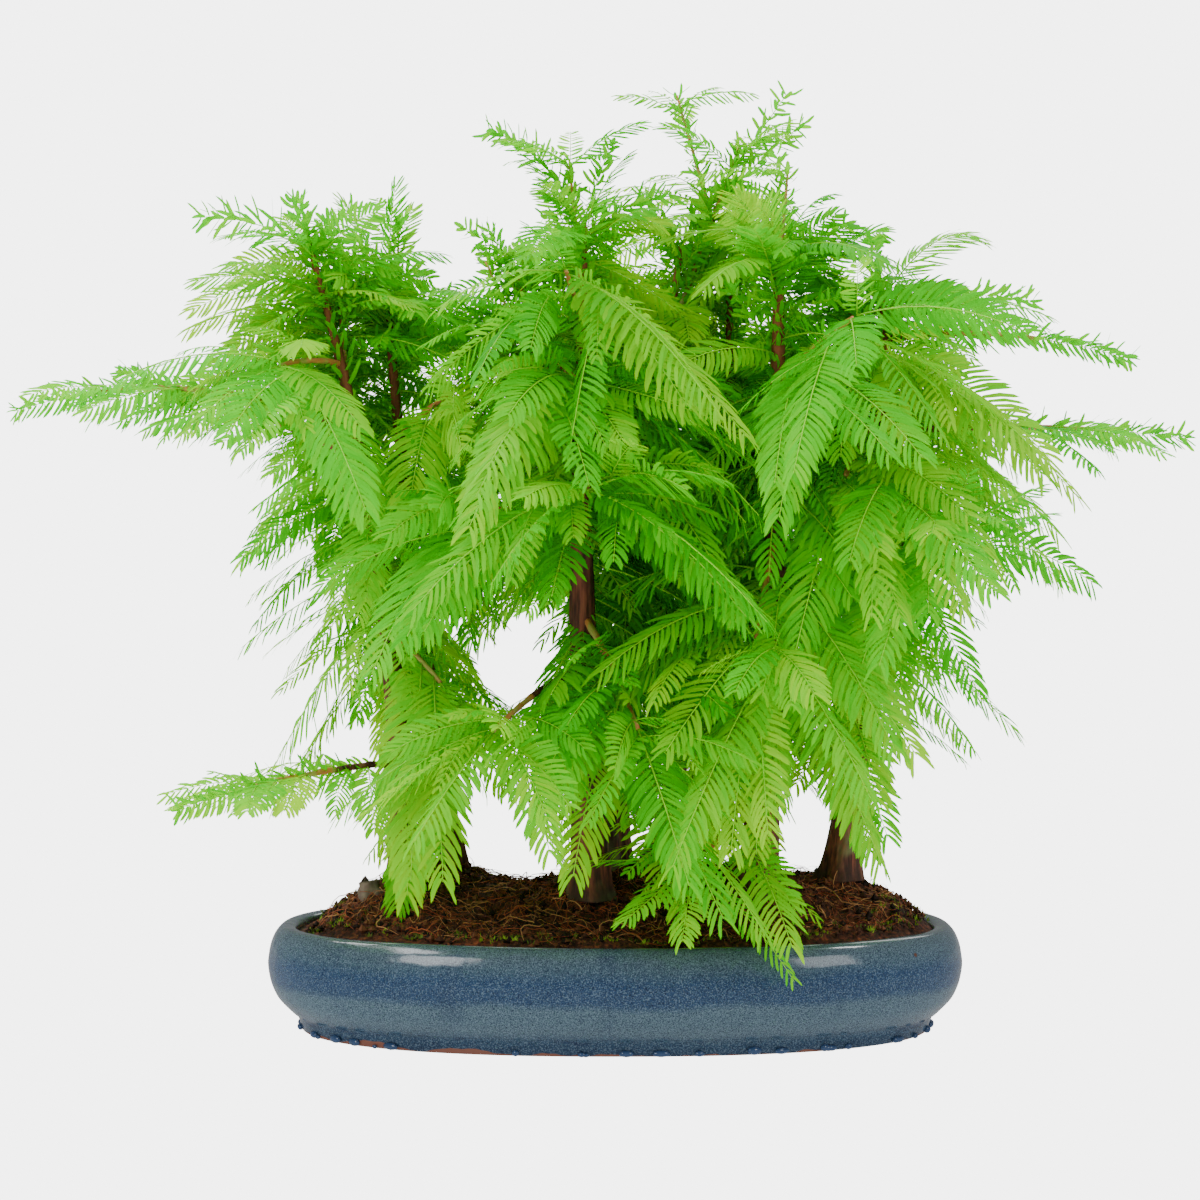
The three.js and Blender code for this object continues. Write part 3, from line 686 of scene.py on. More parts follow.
# Sheen of a leaf, how much light shines through it, and that light's red, green and blue against its own
LEAF_SHEEN, SHINE_THROUGH, THROUGH_TINT = 0.06, 0.45, (1.5, 1.2, 0.5)


def leaf_finish(name, color):
    """A needle leaf: a soft sheen, and light that shines through it in a yellower green."""
    finish = Finish(name)
    surface = finish.node("ShaderNodeBsdfPrincipled", {
        "Base Color": color, "Roughness": 0.5, "Specular IOR Level": LEAF_SHEEN})
    through = finish.node("ShaderNodeBsdfTranslucent", {
        "Color": tuple(min(1.0, value * tint) for value, tint in zip(color, THROUGH_TINT))})
    finish.surface(finish.node("ShaderNodeMixShader", {0: SHINE_THROUGH, 1: surface, 2: through}))
    return finish.material


# Settings


class ForestPotSettings(bpy.types.PropertyGroup):
    """Sizes and colours of the glazed pot."""

    sides: bpy.props.IntProperty(
        name="Sides", description="Faces round the pot", default=288, min=32, max=600)
    glaze_body: bpy.props.FloatVectorProperty(
        name="Glaze", description="Colour of the glaze on the wall", subtype="COLOR",
        default=tone(62, 79, 89))
    glaze_band: bpy.props.FloatVectorProperty(
        name="Band", description="Colour of the dark band below the rim", subtype="COLOR",
        default=tone(29, 50, 76))
    clay: bpy.props.FloatVectorProperty(
        name="Clay", description="Colour of the bare clay at the foot", subtype="COLOR",
        default=tone(104, 62, 48))


class ForestPlantSettings(bpy.types.PropertyGroup):
    """Sizes and colours of stems, twigs and leaves."""

    leaflet_share: bpy.props.FloatProperty(
        name="Leaflet share", description="Length of a leaflet as a share of its frond", default=0.235)
    leaflet_most: bpy.props.FloatProperty(
        name="Longest leaflet", description="Longest leaflet", default=0.0235, unit="LENGTH")
    leaflet_width: bpy.props.FloatProperty(
        name="Leaflet width", description="Width of a leaflet", default=0.00235, unit="LENGTH")
    leaflet_pitch: bpy.props.FloatProperty(
        name="Leaflet pitch", description="Distance from one pair of leaflets to the next",
        default=0.0034, unit="LENGTH")
    leaf_dark: bpy.props.FloatVectorProperty(
        name="Dark leaf", description="Colour of the oldest leaves", subtype="COLOR",
        default=tone(20, 140, 1))
    leaf_middle: bpy.props.FloatVectorProperty(
        name="Leaf", description="Colour of most leaves", subtype="COLOR", default=tone(76, 190, 1))
    leaf_bright: bpy.props.FloatVectorProperty(
        name="Bright leaf", description="Colour of the freshest leaves", subtype="COLOR",
        default=tone(140, 204, 2))
    midrib: bpy.props.FloatVectorProperty(
        name="Midrib", description="Colour of the midribs", subtype="COLOR", default=tone(134, 204, 24))
    bark: bpy.props.FloatVectorProperty(
        name="Bark", description="Colour of the bark's ridges", subtype="COLOR",
        default=tone(122, 66, 44))
    bark_groove: bpy.props.FloatVectorProperty(
        name="Bark groove", description="Colour between the bark's strips", subtype="COLOR",
        default=tone(54, 30, 22))
    young_bark: bpy.props.FloatVectorProperty(
        name="Young bark", description="Colour of the bark near the tips", subtype="COLOR",
        default=tone(150, 84, 46))
    algae: bpy.props.FloatVectorProperty(
        name="Algae", description="Colour of the algae at the stems' feet", subtype="COLOR",
        default=tone(96, 104, 60))
    twig: bpy.props.FloatVectorProperty(
        name="Twig", description="Colour of young twigs", subtype="COLOR", default=tone(176, 108, 52))


class ForestSoilSettings(bpy.types.PropertyGroup):
    """Amounts and colours of the soil."""

    rootlets: bpy.props.IntProperty(
        name="Rootlets", description="Fine roots that show on the soil", default=2200, min=0)
    crumbs: bpy.props.IntProperty(
        name="Crumbs", description="Loose crumbs of soil", default=6000, min=0)
    tufts: bpy.props.IntProperty(
        name="Moss tufts", description="Tufts of moss near the rim", default=240, min=0)
    soil: bpy.props.FloatVectorProperty(
        name="Soil", description="Colour of the damp soil", subtype="COLOR", default=tone(66, 34, 20))


class ForestStageSettings(bpy.types.PropertyGroup):
    """Floor, light and camera."""

    eye: bpy.props.FloatVectorProperty(
        name="Camera", description="Place of the camera", subtype="XYZ", unit="LENGTH",
        default=tuple(EYE * MM))
    lens: bpy.props.FloatProperty(
        name="Lens", description="Focal length on a 36 mm wide frame, in millimetres", default=78.0)
    sky: bpy.props.FloatProperty(
        name="Sky", description="Strength of the even white light", default=0.85)
    backdrop: bpy.props.FloatProperty(
        name="Backdrop", description="Brightness behind the forest", default=5.2)
    glow: bpy.props.FloatProperty(
        name="Floor glow", description="Light that the floor gives off", default=1.0)
    floor: bpy.props.FloatVectorProperty(
        name="Floor", description="Colour of the floor", subtype="COLOR", default=(0.9, 0.9, 0.9))


# The pot

# Rings of the wall's profile; how far its height waves, how long a wave is and over what height it grows
PROFILE_RINGS, WALL_WAVE, WAVE_LENGTH, WAVE_GROWTH = 120, 0.9, 70.0, 20
# Beads: how many, rings and corners of each, insets of their middles and of the point that they face, and
# how near their rings come to the poles in radians
BEADS, BEAD_RINGS, BEAD_CORNERS, BEAD_INSET, BEAD_FACING, BEAD_POLE = 54, 8, 10, 16.4, 10.0, 0.12


def smooth_profile(corners, count):
    """A rounded line through corners: on each stretch the Catmull-Rom cubic of its four nearest corners."""
    padded = np.concatenate([corners[:1], corners, corners[-1:]])
    place = np.linspace(0, len(corners) - 1, count)
    cell = np.minimum(place.astype(int), len(corners) - 2)
    part = (place - cell)[:, None]
    before, start, end, after = (padded[cell + step] for step in range(4))
    return start + 0.5 * part * (
        end - before + part * (
            2 * before - 5 * start + 4 * end - after + part * (3 * (start - end) + after - before)))


def build_pot(pot):
    """The pot's wall: the rounded profile of inset and height carried round the oval, waving a little."""
    profile = smooth_profile(POT_PROFILE, PROFILE_RINGS)
    level = oval(profile[:, :1], full_turn(pot.sides))
    height = np.broadcast_to(profile[:, 1:], level.shape[:2])
    wave = (smooth_noise(level, WAVE_LENGTH, 3) - 0.5) * WALL_WAVE * np.clip(height / WAVE_GROWTH, 0, 1)
    rings = raised(level, height + wave)[None]
    add_tubes("glazed_pot", rings, [glaze_finish(pot)], replaced=("pot",))


def build_beads():
    """Beads of run glaze at the foot: small flattened balls at random angles round the oval."""
    number = np.arange(BEADS)
    angle = chance(number, 1) * 2 * np.pi
    size = 0.9 + 1.3 * chance(number, 2)
    width = size * (1.2 + 1.6 * chance(number, 3))
    centre = oval(np.full(BEADS, BEAD_INSET), angle)
    outward = unit(oval(np.full(BEADS, BEAD_FACING), angle) - centre)
    tilt = np.linspace(BEAD_POLE, np.pi - BEAD_POLE, BEAD_RINGS)[None, :, None]
    turn = full_turn(BEAD_CORNERS)[None, None, :]
    side = np.sin(tilt) * np.cos(turn) * width[:, None, None]
    front = np.sin(tilt) * np.sin(turn) * size[:, None, None]
    level = (centre[:, None, None] + side[..., None] * quarter_turn(outward)[:, None, None]
             + front[..., None] * outward[:, None, None])
    height = size[:, None, None] * (1.15 - np.cos(tilt)) + 0 * turn
    bead = Finish("run glaze").done(base_color=tone(36, 58, 88), roughness=0.08, specular_ior_level=0.7)
    add_tubes("glaze_beads", raised(level, height), [bead])


# The soil

# Size and depth of the soil's lumps, and depth, middle and reach of its dips, in millimetres
SOIL_LUMPS = ((24, 5.0), (8, 3.6), (3.4, 2.8))
SOIL_DIPS = ((6.0, (-52, 30), (42, 40)), (9.0, (-166, 10), (26, 60)))
# Inset and height of the soil along the pot's inner wall, corners and rings of the mound, the share at its
# middle, the share of its relief at the edge and the share of its reach over which the relief grows
SOIL_WALL = ((26.8, 9.4), (14.4, 20), (11.0, 34), (12.8, 42), (15.4, 49.5))
SOIL_CORNERS, SOIL_RINGS, SOIL_MIDDLE, EDGE_RELIEF, SETTLING = 320, 110, 0.02, 0.25, 0.07

# Rootlets: stations and sides of each, the inset within which they start, the one that they don't cross,
# and their browns
ROOTLET_STATIONS, ROOTLET_SIDES, ROOTLET_START, ROOTLET_LIMIT = 9, 3, 26.0, 19.0
ROOTLET_TONES = ((134, 60, 30), (94, 42, 22), (164, 84, 46), (190, 132, 84))

# Crumbs: the inset within which they lie, their browns, and the corners and faces of each
CRUMB_INSET = 19.0
CRUMB_TONES = ((28, 16, 10), (56, 32, 19), (92, 54, 32))
CRUMB_CORNERS = np.array([(1, 0, 0), (-1, 0, 0), (0, 1, 0), (0, -1, 0), (0, 0, 1), (0, 0, -1)], float)
CRUMB_FACES = np.array([
    (4, 0, 2), (4, 2, 1), (4, 1, 3), (4, 3, 0), (5, 2, 0), (5, 1, 2), (5, 3, 1), (5, 0, 3)])

# Moss: blades of a tuft, the inset within which tufts stand and how much they keep to the rim, half width
# of a blade and how far it leans for each millimetre of its height
MOSS_BLADES, MOSS_INSET, MOSS_RIM, BLADE_HALF, BLADE_LEAN = 9, 17.5, 0.72, 0.45, 0.6
MOSS_TONES = (("dark moss", (76, 96, 22)), ("bright moss", (112, 142, 30)))

# Stump: corners and rings, foot, radius, height, lean, and how far its top is broken, in millimetres
STUMP_CORNERS, STUMP_RINGS, STUMP_FOOT = 28, 14, np.array([-124.0, -18.0])
STUMP_RADIUS, STUMP_HEIGHT, STUMP_LEAN, STUMP_BREAKS = 6.4, 9, (-3, 0), 5


def soil_relief(level):
    """Height of the crumbled soil: three sizes of smooth noise on the mound, less two bell-shaped dips."""
    rough = sum(depth * (smooth_noise(level, size, size) - 0.5) for size, depth in SOIL_LUMPS)
    dips = sum(
        depth * np.exp(-np.sum(((level - middle) / reach) ** 2, axis=-1))
        for depth, middle, reach in SOIL_DIPS)
    return soil_height(level[..., 0], level[..., 1]) + rough - dips


def build_soil(soil):
    """The soil: ovals that shrink over the crumbled mound, closed below along the pot's inner wall."""
    angle = full_turn(SOIL_CORNERS)
    wall = [
        raised(oval(np.array([inset]), angle), np.full(SOIL_CORNERS, height)) for inset, height in SOIL_WALL]
    share = np.linspace(1, SOIL_MIDDLE, SOIL_RINGS)[:, None, None]
    level = oval(np.array([SOIL_WALL[-1][0]]), angle)[None] * share
    settled = np.clip((1 - share[..., 0]) / SETTLING, 0, 1)
    relief = (soil_relief(level) - SOIL_EDGE) * (EDGE_RELIEF + (1 - EDGE_RELIEF) * settled)
    rings = np.concatenate([np.stack(wall), raised(level, SOIL_EDGE + relief)])
    add_tubes("potting_soil", rings[None], [soil_finish(soil)], replaced=("soil",))


def scattered(count, seed, inset, rim=0.0):
    """Random places on the soil: a random angle, and the square root of a random share of the oval's
    reach; a rim above 0 draws them out to the edge."""
    number = np.arange(count)
    angle = chance(number, seed) * 2 * np.pi
    share = np.sqrt(rim + (1 - rim) * chance(number, seed + 1))
    return oval(np.full(count, inset), angle) * share[:, None]


def build_rootlets(soil):
    """Fine roots: tubes that wander over the soil, their heading swinging by a sine of the distance."""
    number = np.arange(soil.rootlets)
    start = scattered(soil.rootlets, 11, ROOTLET_START)
    length = 12 + 30 * chance(number, 13) ** 2
    heading = chance(number, 14) * 2 * np.pi
    share = np.linspace(0, 1, ROOTLET_STATIONS)
    swing = 2.6 * (chance(number, 15) - 0.5)[:, None] * share
    wave = 0.7 * np.sin(share * (3 + 7 * chance(number, 16))[:, None] + number[:, None])
    bearing = heading[:, None] + swing + wave
    path = start[:, None] + np.cumsum(
        (length / (ROOTLET_STATIONS - 1))[:, None, None] * ways(bearing), axis=1)
    lift = 0.5 + 5.0 * chance(number, 17)[:, None] ** 4 * np.sin(np.pi * share)
    kept = np.all(oval_reach(path, ROOTLET_LIMIT) < 1, axis=1)
    path, lift, bearing, number = path[kept], lift[kept], bearing[kept], number[kept]
    girth = (0.13 + 0.3 * chance(number, 18) ** 3)[:, None, None] * (1 - 0.6 * share)[:, None]
    angle = full_turn(ROOTLET_SIDES)
    level = path[:, :, None] + quarter_turn(ways(bearing))[:, :, None] * (girth * np.cos(angle))[..., None]
    height = (soil_relief(path) + lift)[..., None] + girth * np.sin(angle)
    tint = (chance(number, 19) * len(ROOTLET_TONES)).astype(int)
    tints = [np.repeat(tint, (ROOTLET_STATIONS - 1) * ROOTLET_SIDES), np.tile(tint, 2)]
    materials = [
        plain_finish(f"rootlet {index}", tone(*color), 0.8) for index, color in enumerate(ROOTLET_TONES, 1)]
    add_tubes("rootlets", raised(level, height), materials, tints=tints)


def build_crumbs(soil):
    """Crumbs of soil: eight-sided lumps whose six corners are pushed out by random amounts."""
    number = np.arange(soil.crumbs)
    level = scattered(soil.crumbs, 31, CRUMB_INSET)
    size = 0.5 + 1.7 * chance(number, 33) ** 3
    push = 0.6 + 0.8 * chance(number[:, None], np.arange(len(CRUMB_CORNERS)) + 34)
    centre = raised(level, soil_relief(level) + size * 0.35)
    points = centre[:, None] + CRUMB_CORNERS * (size[:, None] * push)[..., None]
    faces = CRUMB_FACES[None] + number[:, None, None] * len(CRUMB_CORNERS)
    tint = np.repeat((chance(number, 41) * len(CRUMB_TONES)).astype(int), len(CRUMB_FACES))
    materials = [
        plain_finish(f"crumb {index}", tone(*color), 0.9, 0.2) for index, color in enumerate(CRUMB_TONES, 1)]
    add_piece(
        "soil_crumbs", points.reshape(-1, 3), [faces.reshape(-1, 3)], materials, tints=[tint],
        smooth=False)


def build_moss(soil):
    """Moss near the rim: in each tuft nine small blades lean out from its middle."""
    number = np.arange(soil.tufts * MOSS_BLADES)
    tuft = number // MOSS_BLADES
    away = ways(chance(number, 52) * 2 * np.pi)
    middle = scattered(soil.tufts, 51, MOSS_INSET, MOSS_RIM)[tuft]
    root = middle + away * (0.4 + 2.0 * chance(number, 53))[:, None]
    tall = 1.0 + 1.6 * chance(number, 54)
    ground = soil_relief(root)
    across = quarter_turn(away) * BLADE_HALF
    tip = root + away * tall[:, None] * BLADE_LEAN
    corners = [raised(root - across, ground), raised(root + across, ground), raised(tip, ground + tall)]
    points = np.stack(corners, axis=1).reshape(-1, 3)
    faces = np.arange(len(points)).reshape(-1, 3)
    tint = (chance(tuft, 55) * len(MOSS_TONES)).astype(int)
    materials = [plain_finish(name, tone(*color), 0.8) for name, color in MOSS_TONES]
    add_piece("moss", points, [faces], materials, tints=[tint], smooth=False)


def build_stump():
    """The grey stump beside the left stem: a leaning drum whose radius and broken top vary by noise."""
    angle, share = full_turn(STUMP_CORNERS)[None], np.linspace(0, 1, STUMP_RINGS)[:, None]
    around = drum(angle, 5, share * 12)
    radius = STUMP_RADIUS * (1.15 - 0.35 * share) * (0.7 + 0.6 * smooth_noise(around, 3.0, 71))
    level = STUMP_FOOT + ways(angle) * radius[..., None] + share[..., None] * STUMP_LEAN
    ragged = smooth_noise(around * (1, 1, 0), 2.5, 72) * STUMP_BREAKS * share
    height = soil_height(*STUMP_FOOT) - FOOT_DEPTH + share * STUMP_HEIGHT + ragged
    add_tubes("old_stump", raised(level, height)[None], [wood_finish()])


# Stems and boughs

# Corners and rings of a stem, and the power that draws its rings together near the foot
STEM_CORNERS, STEM_RINGS, RING_POWER = 56, 190, 1.15
# Depth of the bark and of a stem's lumps as shares of its radius, what the bark loses towards the tip, and
# the radius of the drum on which the bark is read
BARK_DEPTH, LUMP_DEPTH, BARK_THINNING, BARK_DRUM = 0.13, 0.16, 0.5, 20
# Radius of a limb's tip, and what its start has more when the limb is so many millimetres long
TIP_RADIUS, MORE_RADIUS, MORE_LENGTH = 0.55, 1.5, 150
# Corners and rings of a twig and of a bough
TWIG_GRID, BOUGH_GRID = (7, 26), (12, 40)


def bark_relief(angle, height, seed):
    """Depth of the bark from 0 to 1: noise on a drum, stretched upright into strips, raised to sharpen the
    grooves."""
    around = drum(angle, BARK_DRUM, height * 0.16)
    strips = smooth_noise(around, 5.0, seed)
    flakes = smooth_noise(around * (1, 1, 3.5), 8.0, seed + 1)
    return np.abs(2 * strips - 1) ** 0.7 * 0.7 + flakes * 0.3


def build_stems(bark):
    """Each stem: level rings round its leaning centre line, with root ridges and raised bark strips."""
    angle = full_turn(STEM_CORNERS)[None]
    share = (np.linspace(0, 1, STEM_RINGS) ** RING_POWER)[:, None]
    for seed, (name, trunk) in enumerate(STEMS.items()):
        centre = trunk_point(trunk, share[:, 0])
        height = centre[:, 2:]
        radius = trunk_radius(trunk, share, angle)
        depth = BARK_DEPTH * radius * (1 - BARK_THINNING * share)
        lumps = smooth_noise(drum(angle, 8, height / 3), 6.0, seed + 40) - 0.5
        radius = radius + depth * (bark_relief(angle, height, seed) - 0.5) + lumps * radius * LUMP_DEPTH
        level = centre[:, None, :2] + ways(angle) * radius[..., None]
        rings = raised(level, np.broadcast_to(height, radius.shape))
        add_tubes(f"stem_{name}", rings[None], [bark], replaced=(f"trunk_{name}",))


def limb_records():
    """The limbs as bowed lines, with what the model's rule works out for each."""
    records = []
    for index, (name, stem, at, bearing, rise, length, sag, bare, habit) in enumerate(LIMBS):
        line = lines_of(
            trunk_point(STEMS[stem], at)[None], bearing=bearing, rise=rise, length=length, sag=sag,
            seed=index)
        end = min(MOST_END, END_SHARE * HABITS[habit][0] / length)
        records.append({
            "name": name, "stem": stem, "index": index, "line": line, "bare": bare, "habit": habit,
            "stem_end": 1 - end})
    return records


def limb_wood(limb, start, end, grid):
    """Rings of a limb's wood from one share to another: a straight taper, thicker on a longer limb, with
    knots as bumps of noise."""
    sides, rows = grid
    share = np.linspace(start, end, rows)
    length = limb["line"]["length"][0]
    around = drum(full_turn(sides)[None], 3, share[:, None] * length)
    knots = 1 + 0.5 * (smooth_noise(around, 3.5, limb["index"]) - 0.5)
    radius = (TIP_RADIUS + MORE_RADIUS * (1 - share) * (length / MORE_LENGTH))[:, None] * knots
    return line_rings(limb["line"], share[None], radius[None], sides)


def build_boughs(limbs, bark):
    """The bare boughs: each limb's wood from inside its stem to where its foliage starts."""
    for limb in limbs:
        if limb["bare"] > 0:
            rings = limb_wood(limb, 0.0, limb["bare"], BOUGH_GRID)
            add_tubes(f"branch_{limb['name']}", rings, [bark], replaced=(f"bough_{limb['name']}",))


# Foliage

# Where the random draws of each kind of line start
BETWEEN_DRAWS, FORK_DRAWS, ROSETTE_DRAWS, EARLY_DRAWS = 3000, 500, 4000, 5000
SPROUT_DRAWS, BEHIND_DRAWS, PLUME_DRAWS = 7000, 9800, 7800
SHOOT_DRAWS, TOP_DRAWS, YOUNG_DRAWS = 8500, 8700, 8900

# How many lines: in a rosette, on a bare stretch, round a stem, behind it, and shoots round its tip
ROSETTE, EARLY, SPROUTS, BEHIND, SHOOTS = 6, 4, 90, 34, 10
# Degrees from one line to the next round a stem, and by which fronds of slender and other limbs lean
GOLDEN_TURN, SLENDER_LEAN, COMMON_LEAN = 137.5, 32, 12
# The row of shorter and looser fronds between those of the rule: share of a step, looseness, length, rise
BETWEEN, LOOSENESS, BETWEEN_LENGTH, BETWEEN_RISE = 0.45, 3.0, 0.8, 10
# Lesser fronds that fork off one: where on it, at how many degrees, and their share of its length
SIDE_FORK, SLIM_FORK = (0.22, 50.0, 0.6), (0.04, 36.0, 0.5)
LOW_FORK, FULL_FORK = (0.07, 40.0, 0.8), (0.07, 40.0, 0.84)

# Where lines are tested, what they keep off the soil and may reach past the model's box in millimetres,
# the reach of the rim, and what is added to the size of a gap
TESTED_AT, WOOD_TESTED_AT = np.array([0.35, 0.6, 0.8, 1.0]), np.array([0.3, 0.55, 0.8, 1.0])
SOIL_MARGIN, BOX_MARGIN, RIM_REACH, GAP_MARGIN = 4, 4, 1.06, 5


def lean(limb, bearing):
    """Degrees by which fronds that point sideways turn their faces to the front."""
    most = SLENDER_LEAN if limb["habit"] in ("reaching", "small") else COMMON_LEAN
    return most * np.cos(np.radians(bearing))


def either_way(seed, draw, spread, middle=0.5):
    """A random number on either side of zero: the spread times what the chance is above its middle."""
    return spread * (chance(seed, draw) - middle)


def end_frond(limb):
    """The frond that carries the limb's line on to its tip."""
    line = limb["line"]
    root = limb["stem_end"] - ROOT_SINK / line["length"][0]
    slope = np.sin(np.radians(line["rise"])) - 2 * line["sag"] * root
    level = np.cos(np.radians(line["rise"]))
    stretch = np.hypot(slope, level)
    rolled = either_way(limb["index"], 5, ROLL_SPREAD) + lean(limb, line["bearing"])
    return lines_of(
        line_point(line, root), bearing=line["bearing"], rise=np.degrees(np.arctan2(slope, level)),
        length=line["length"] * (1 - root) * stretch, sag=line["sag"] * (1 - root) / stretch,
        roll=np.where(line["rise"] > STEEP, LEADER_ROLL, rolled), seed=limb["index"] * 10 + 9)


def side_fronds(limb, between=0.0):
    """The fronds of the model's rule on both sides of the limb's stem.

    With a share of a step between, a second row of shorter fronds fills in, in looser directions.
    """
    line = limb["line"]
    frond, angle, turn, rise, sag = HABITS[limb["habit"]]
    pair, hand = (grid.ravel() for grid in np.meshgrid(np.arange(PAIRS), (-1, 1), indexing="ij"))
    seed = limb["index"] * 10 + pair * 2 + (hand > 0) + BETWEEN_DRAWS * (between > 0)
    loose = LOOSENESS if between else 1.0
    first = max(limb["bare"] + PAST_BOUGH, FIRST_FROND / line["length"][0])
    step = pair + np.where(hand > 0, LEFT_STEP, RIGHT_STEP) + STEP_SPREAD * chance(seed, 1) + between
    share = first + (limb["stem_end"] - first) * step / PAIRS
    shorter = (1 + FROND_TAPER * (FULL_LENGTH_AT - share)) * (BETWEEN_LENGTH if between else 1.0)
    bearing = line["bearing"] + hand * (angle + either_way(seed, 2, loose * BEARING_SPREAD)) + pair * turn
    return lines_of(
        line_point(line, share), bearing=bearing,
        rise=rise + either_way(seed, 3, loose * RISE_SPREAD) + BETWEEN_RISE * (loose - 1),
        length=frond * shorter * (1 + either_way(seed, 4, LENGTH_SPREAD)),
        sag=sag, roll=either_way(seed, 5, loose * ROLL_SPREAD) + lean(limb, bearing), seed=seed)


def forked_fronds(lines, hand, fork=SIDE_FORK):
    """A lesser frond that forks off each line on the given hand, in its own direction."""
    start, spread, length = fork
    seed = lines["seed"] + FORK_DRAWS * (2 + np.sign(hand))
    share = start * (0.4 + 1.2 * chance(seed, 6))
    along, _, _ = line_axes(lines, share)
    return lines_of(
        line_point(lines, share), bearing=lines["bearing"] + hand * (spread + either_way(seed, 7, 24)),
        rise=np.degrees(np.arcsin(along[..., 2])) + either_way(seed, 8, 44, 0.4),
        length=lines["length"] * length * (0.8 + 0.4 * chance(seed, 9)),
        sag=lines["sag"] * 0.9, roll=either_way(seed, 10, 80), seed=seed)


def end_forks(end, fork):
    """The fronds that fork off an end frond to both hands."""
    return [forked_fronds(end, hand, fork) for hand in (-1.0, 1.0)]


def rosette(limb):
    """Small young fronds round the tip of a leader, each the golden angle on from the one before."""
    number = np.arange(ROSETTE)
    seed = limb["index"] * 31 + number + ROSETTE_DRAWS
    return lines_of(
        line_point(limb["line"], 0.86 + 0.1 * chance(seed, 1)),
        bearing=limb["line"]["bearing"] + number * GOLDEN_TURN, rise=14 + 34 * chance(seed, 2),
        length=28 + 26 * chance(seed, 3), sag=0.3, roll=either_way(seed, 4, 30), seed=seed)


def early_fronds(limb):
    """Lesser fronds that droop from a limb's bare stretch, to either hand in turn."""
    number = np.arange(EARLY)
    seed = limb["index"] * 17 + number + EARLY_DRAWS
    share = limb["bare"] * (0.3 + 0.7 * (number + chance(seed, 1)) / EARLY)
    bearing = limb["line"]["bearing"] + np.where(number % 2, 1, -1) * (36 + 40 * chance(seed, 2))
    return lines_of(
        line_point(limb["line"], share), bearing=bearing, rise=-24 + 36 * chance(seed, 3),
        length=40 + 26 * chance(seed, 4), sag=0.3, roll=either_way(seed, 5, 60) + lean(limb, bearing),
        seed=seed)


def limb_fronds(limb):
    """Every frond of a limb: those of the model's rule, its end, and the lesser ones that fill in.

    A reaching limb stays slender, and on low ones nothing fills in between the side fronds.
    """
    sides, end = side_fronds(limb), end_frond(limb)
    hand = np.where(chance(sides["seed"], 20) > 0.5, 1.0, -1.0)
    if limb["habit"] == "upright":
        groups = [sides, side_fronds(limb, BETWEEN), forked_fronds(sides, hand), rosette(limb)]
    elif limb["habit"] == "reaching":
        groups = [sides, end, early_fronds(limb), *end_forks(end, SLIM_FORK)]
    elif limb["habit"] in ("low", "small", "hanging"):
        groups = [sides, end, forked_fronds(sides[::2], hand[::2]), *end_forks(end, LOW_FORK)]
    else:
        between = side_fronds(limb, BETWEEN)
        forks = [forked_fronds(sides, hand), forked_fronds(between, -hand)]
        groups = [sides, between, *forks, end, *end_forks(end, FULL_FORK)]
    return clear_fronds(groups)


def near_stem(table, trunk, seed):
    """The table's lines that start at one stem."""
    rows = np.array(table.get(trunk[0], []), float).reshape(-1, 5)
    share, bearing, rise, length, sag = rows.T
    number = seed + np.arange(len(rows))
    return lines_of(
        trunk_point(trunk, share), bearing=bearing, rise=rise, length=length, sag=sag,
        roll=70 * np.cos(np.radians(bearing)) * chance(number, 1), seed=number)


def sprouts(trunk, index):
    """Short fronds that grow straight from a stem, all round it: drooping low down, erect near the tip, more
    of them behind its upper part, and the plumes."""
    number = np.arange(SPROUTS)
    seed = SPROUT_DRAWS + index * 90 + number
    share = 0.3 + 0.69 * ((number + chance(seed, 1)) / SPROUTS) ** 0.8
    high = np.clip((share - 0.7) / 0.25, 0, 1)
    around = lines_of(
        trunk_point(trunk, share), bearing=number * GOLDEN_TURN + 60 * chance(seed, 2),
        rise=-4 - 26 * chance(seed, 3) + high * (24 + 52 * chance(seed, 6)),
        length=48 + 38 * chance(seed, 4) - 8 * high, sag=0.34, roll=either_way(seed, 5, 30 + 110 * high),
        seed=seed)
    seed = BEHIND_DRAWS + index * 40 + np.arange(BEHIND)
    behind = lines_of(
        trunk_point(trunk, 0.62 + 0.33 * chance(seed, 1)), bearing=90 + either_way(seed, 2, 170),
        rise=40 * chance(seed, 3) - 14, length=54 + 26 * chance(seed, 4), sag=0.3,
        roll=either_way(seed, 5, 90), seed=seed)
    return clear_fronds([around, behind, near_stem(PLUMES, trunk, PLUME_DRAWS + 10 * index)])


def shoots(trunk, index):
    """What carries single leaflets near a stem's tip: small young shoots round it, those of the table, and
    the stem's own top, as a straight line in it."""
    number = np.arange(SHOOTS)
    seed = SHOOT_DRAWS + index * 20 + number
    around = lines_of(
        trunk_point(trunk, 0.8 + 0.195 * (number + chance(seed, 1)) / SHOOTS),
        bearing=number * GOLDEN_TURN + 80 * chance(seed, 2), rise=28 + 48 * chance(seed, 3),
        length=26 + 26 * chance(seed, 4), sag=0.1 + 0.2 * chance(seed, 6), roll=360 * chance(seed, 5),
        seed=seed)
    low, high = trunk_point(trunk, 0.7), trunk_point(trunk, 1.0)
    way, length = high - low, np.linalg.norm(high - low)
    top = lines_of(
        low[None], bearing=np.degrees(np.arctan2(way[1], way[0])), length=length,
        rise=np.degrees(np.arcsin(way[2] / length)), seed=TOP_DRAWS + index)
    young = near_stem(YOUNG_SHOOTS, trunk, YOUNG_DRAWS + 10 * index)
    return clear_of_pot(np.concatenate([around, young, top]))


def clear_fronds(groups):
    """The lines of all groups that are clear of the pot, of the crown's gaps and of seen wood."""
    return clear_of_wood(clear_of_gaps(clear_of_pot(np.concatenate(groups))))


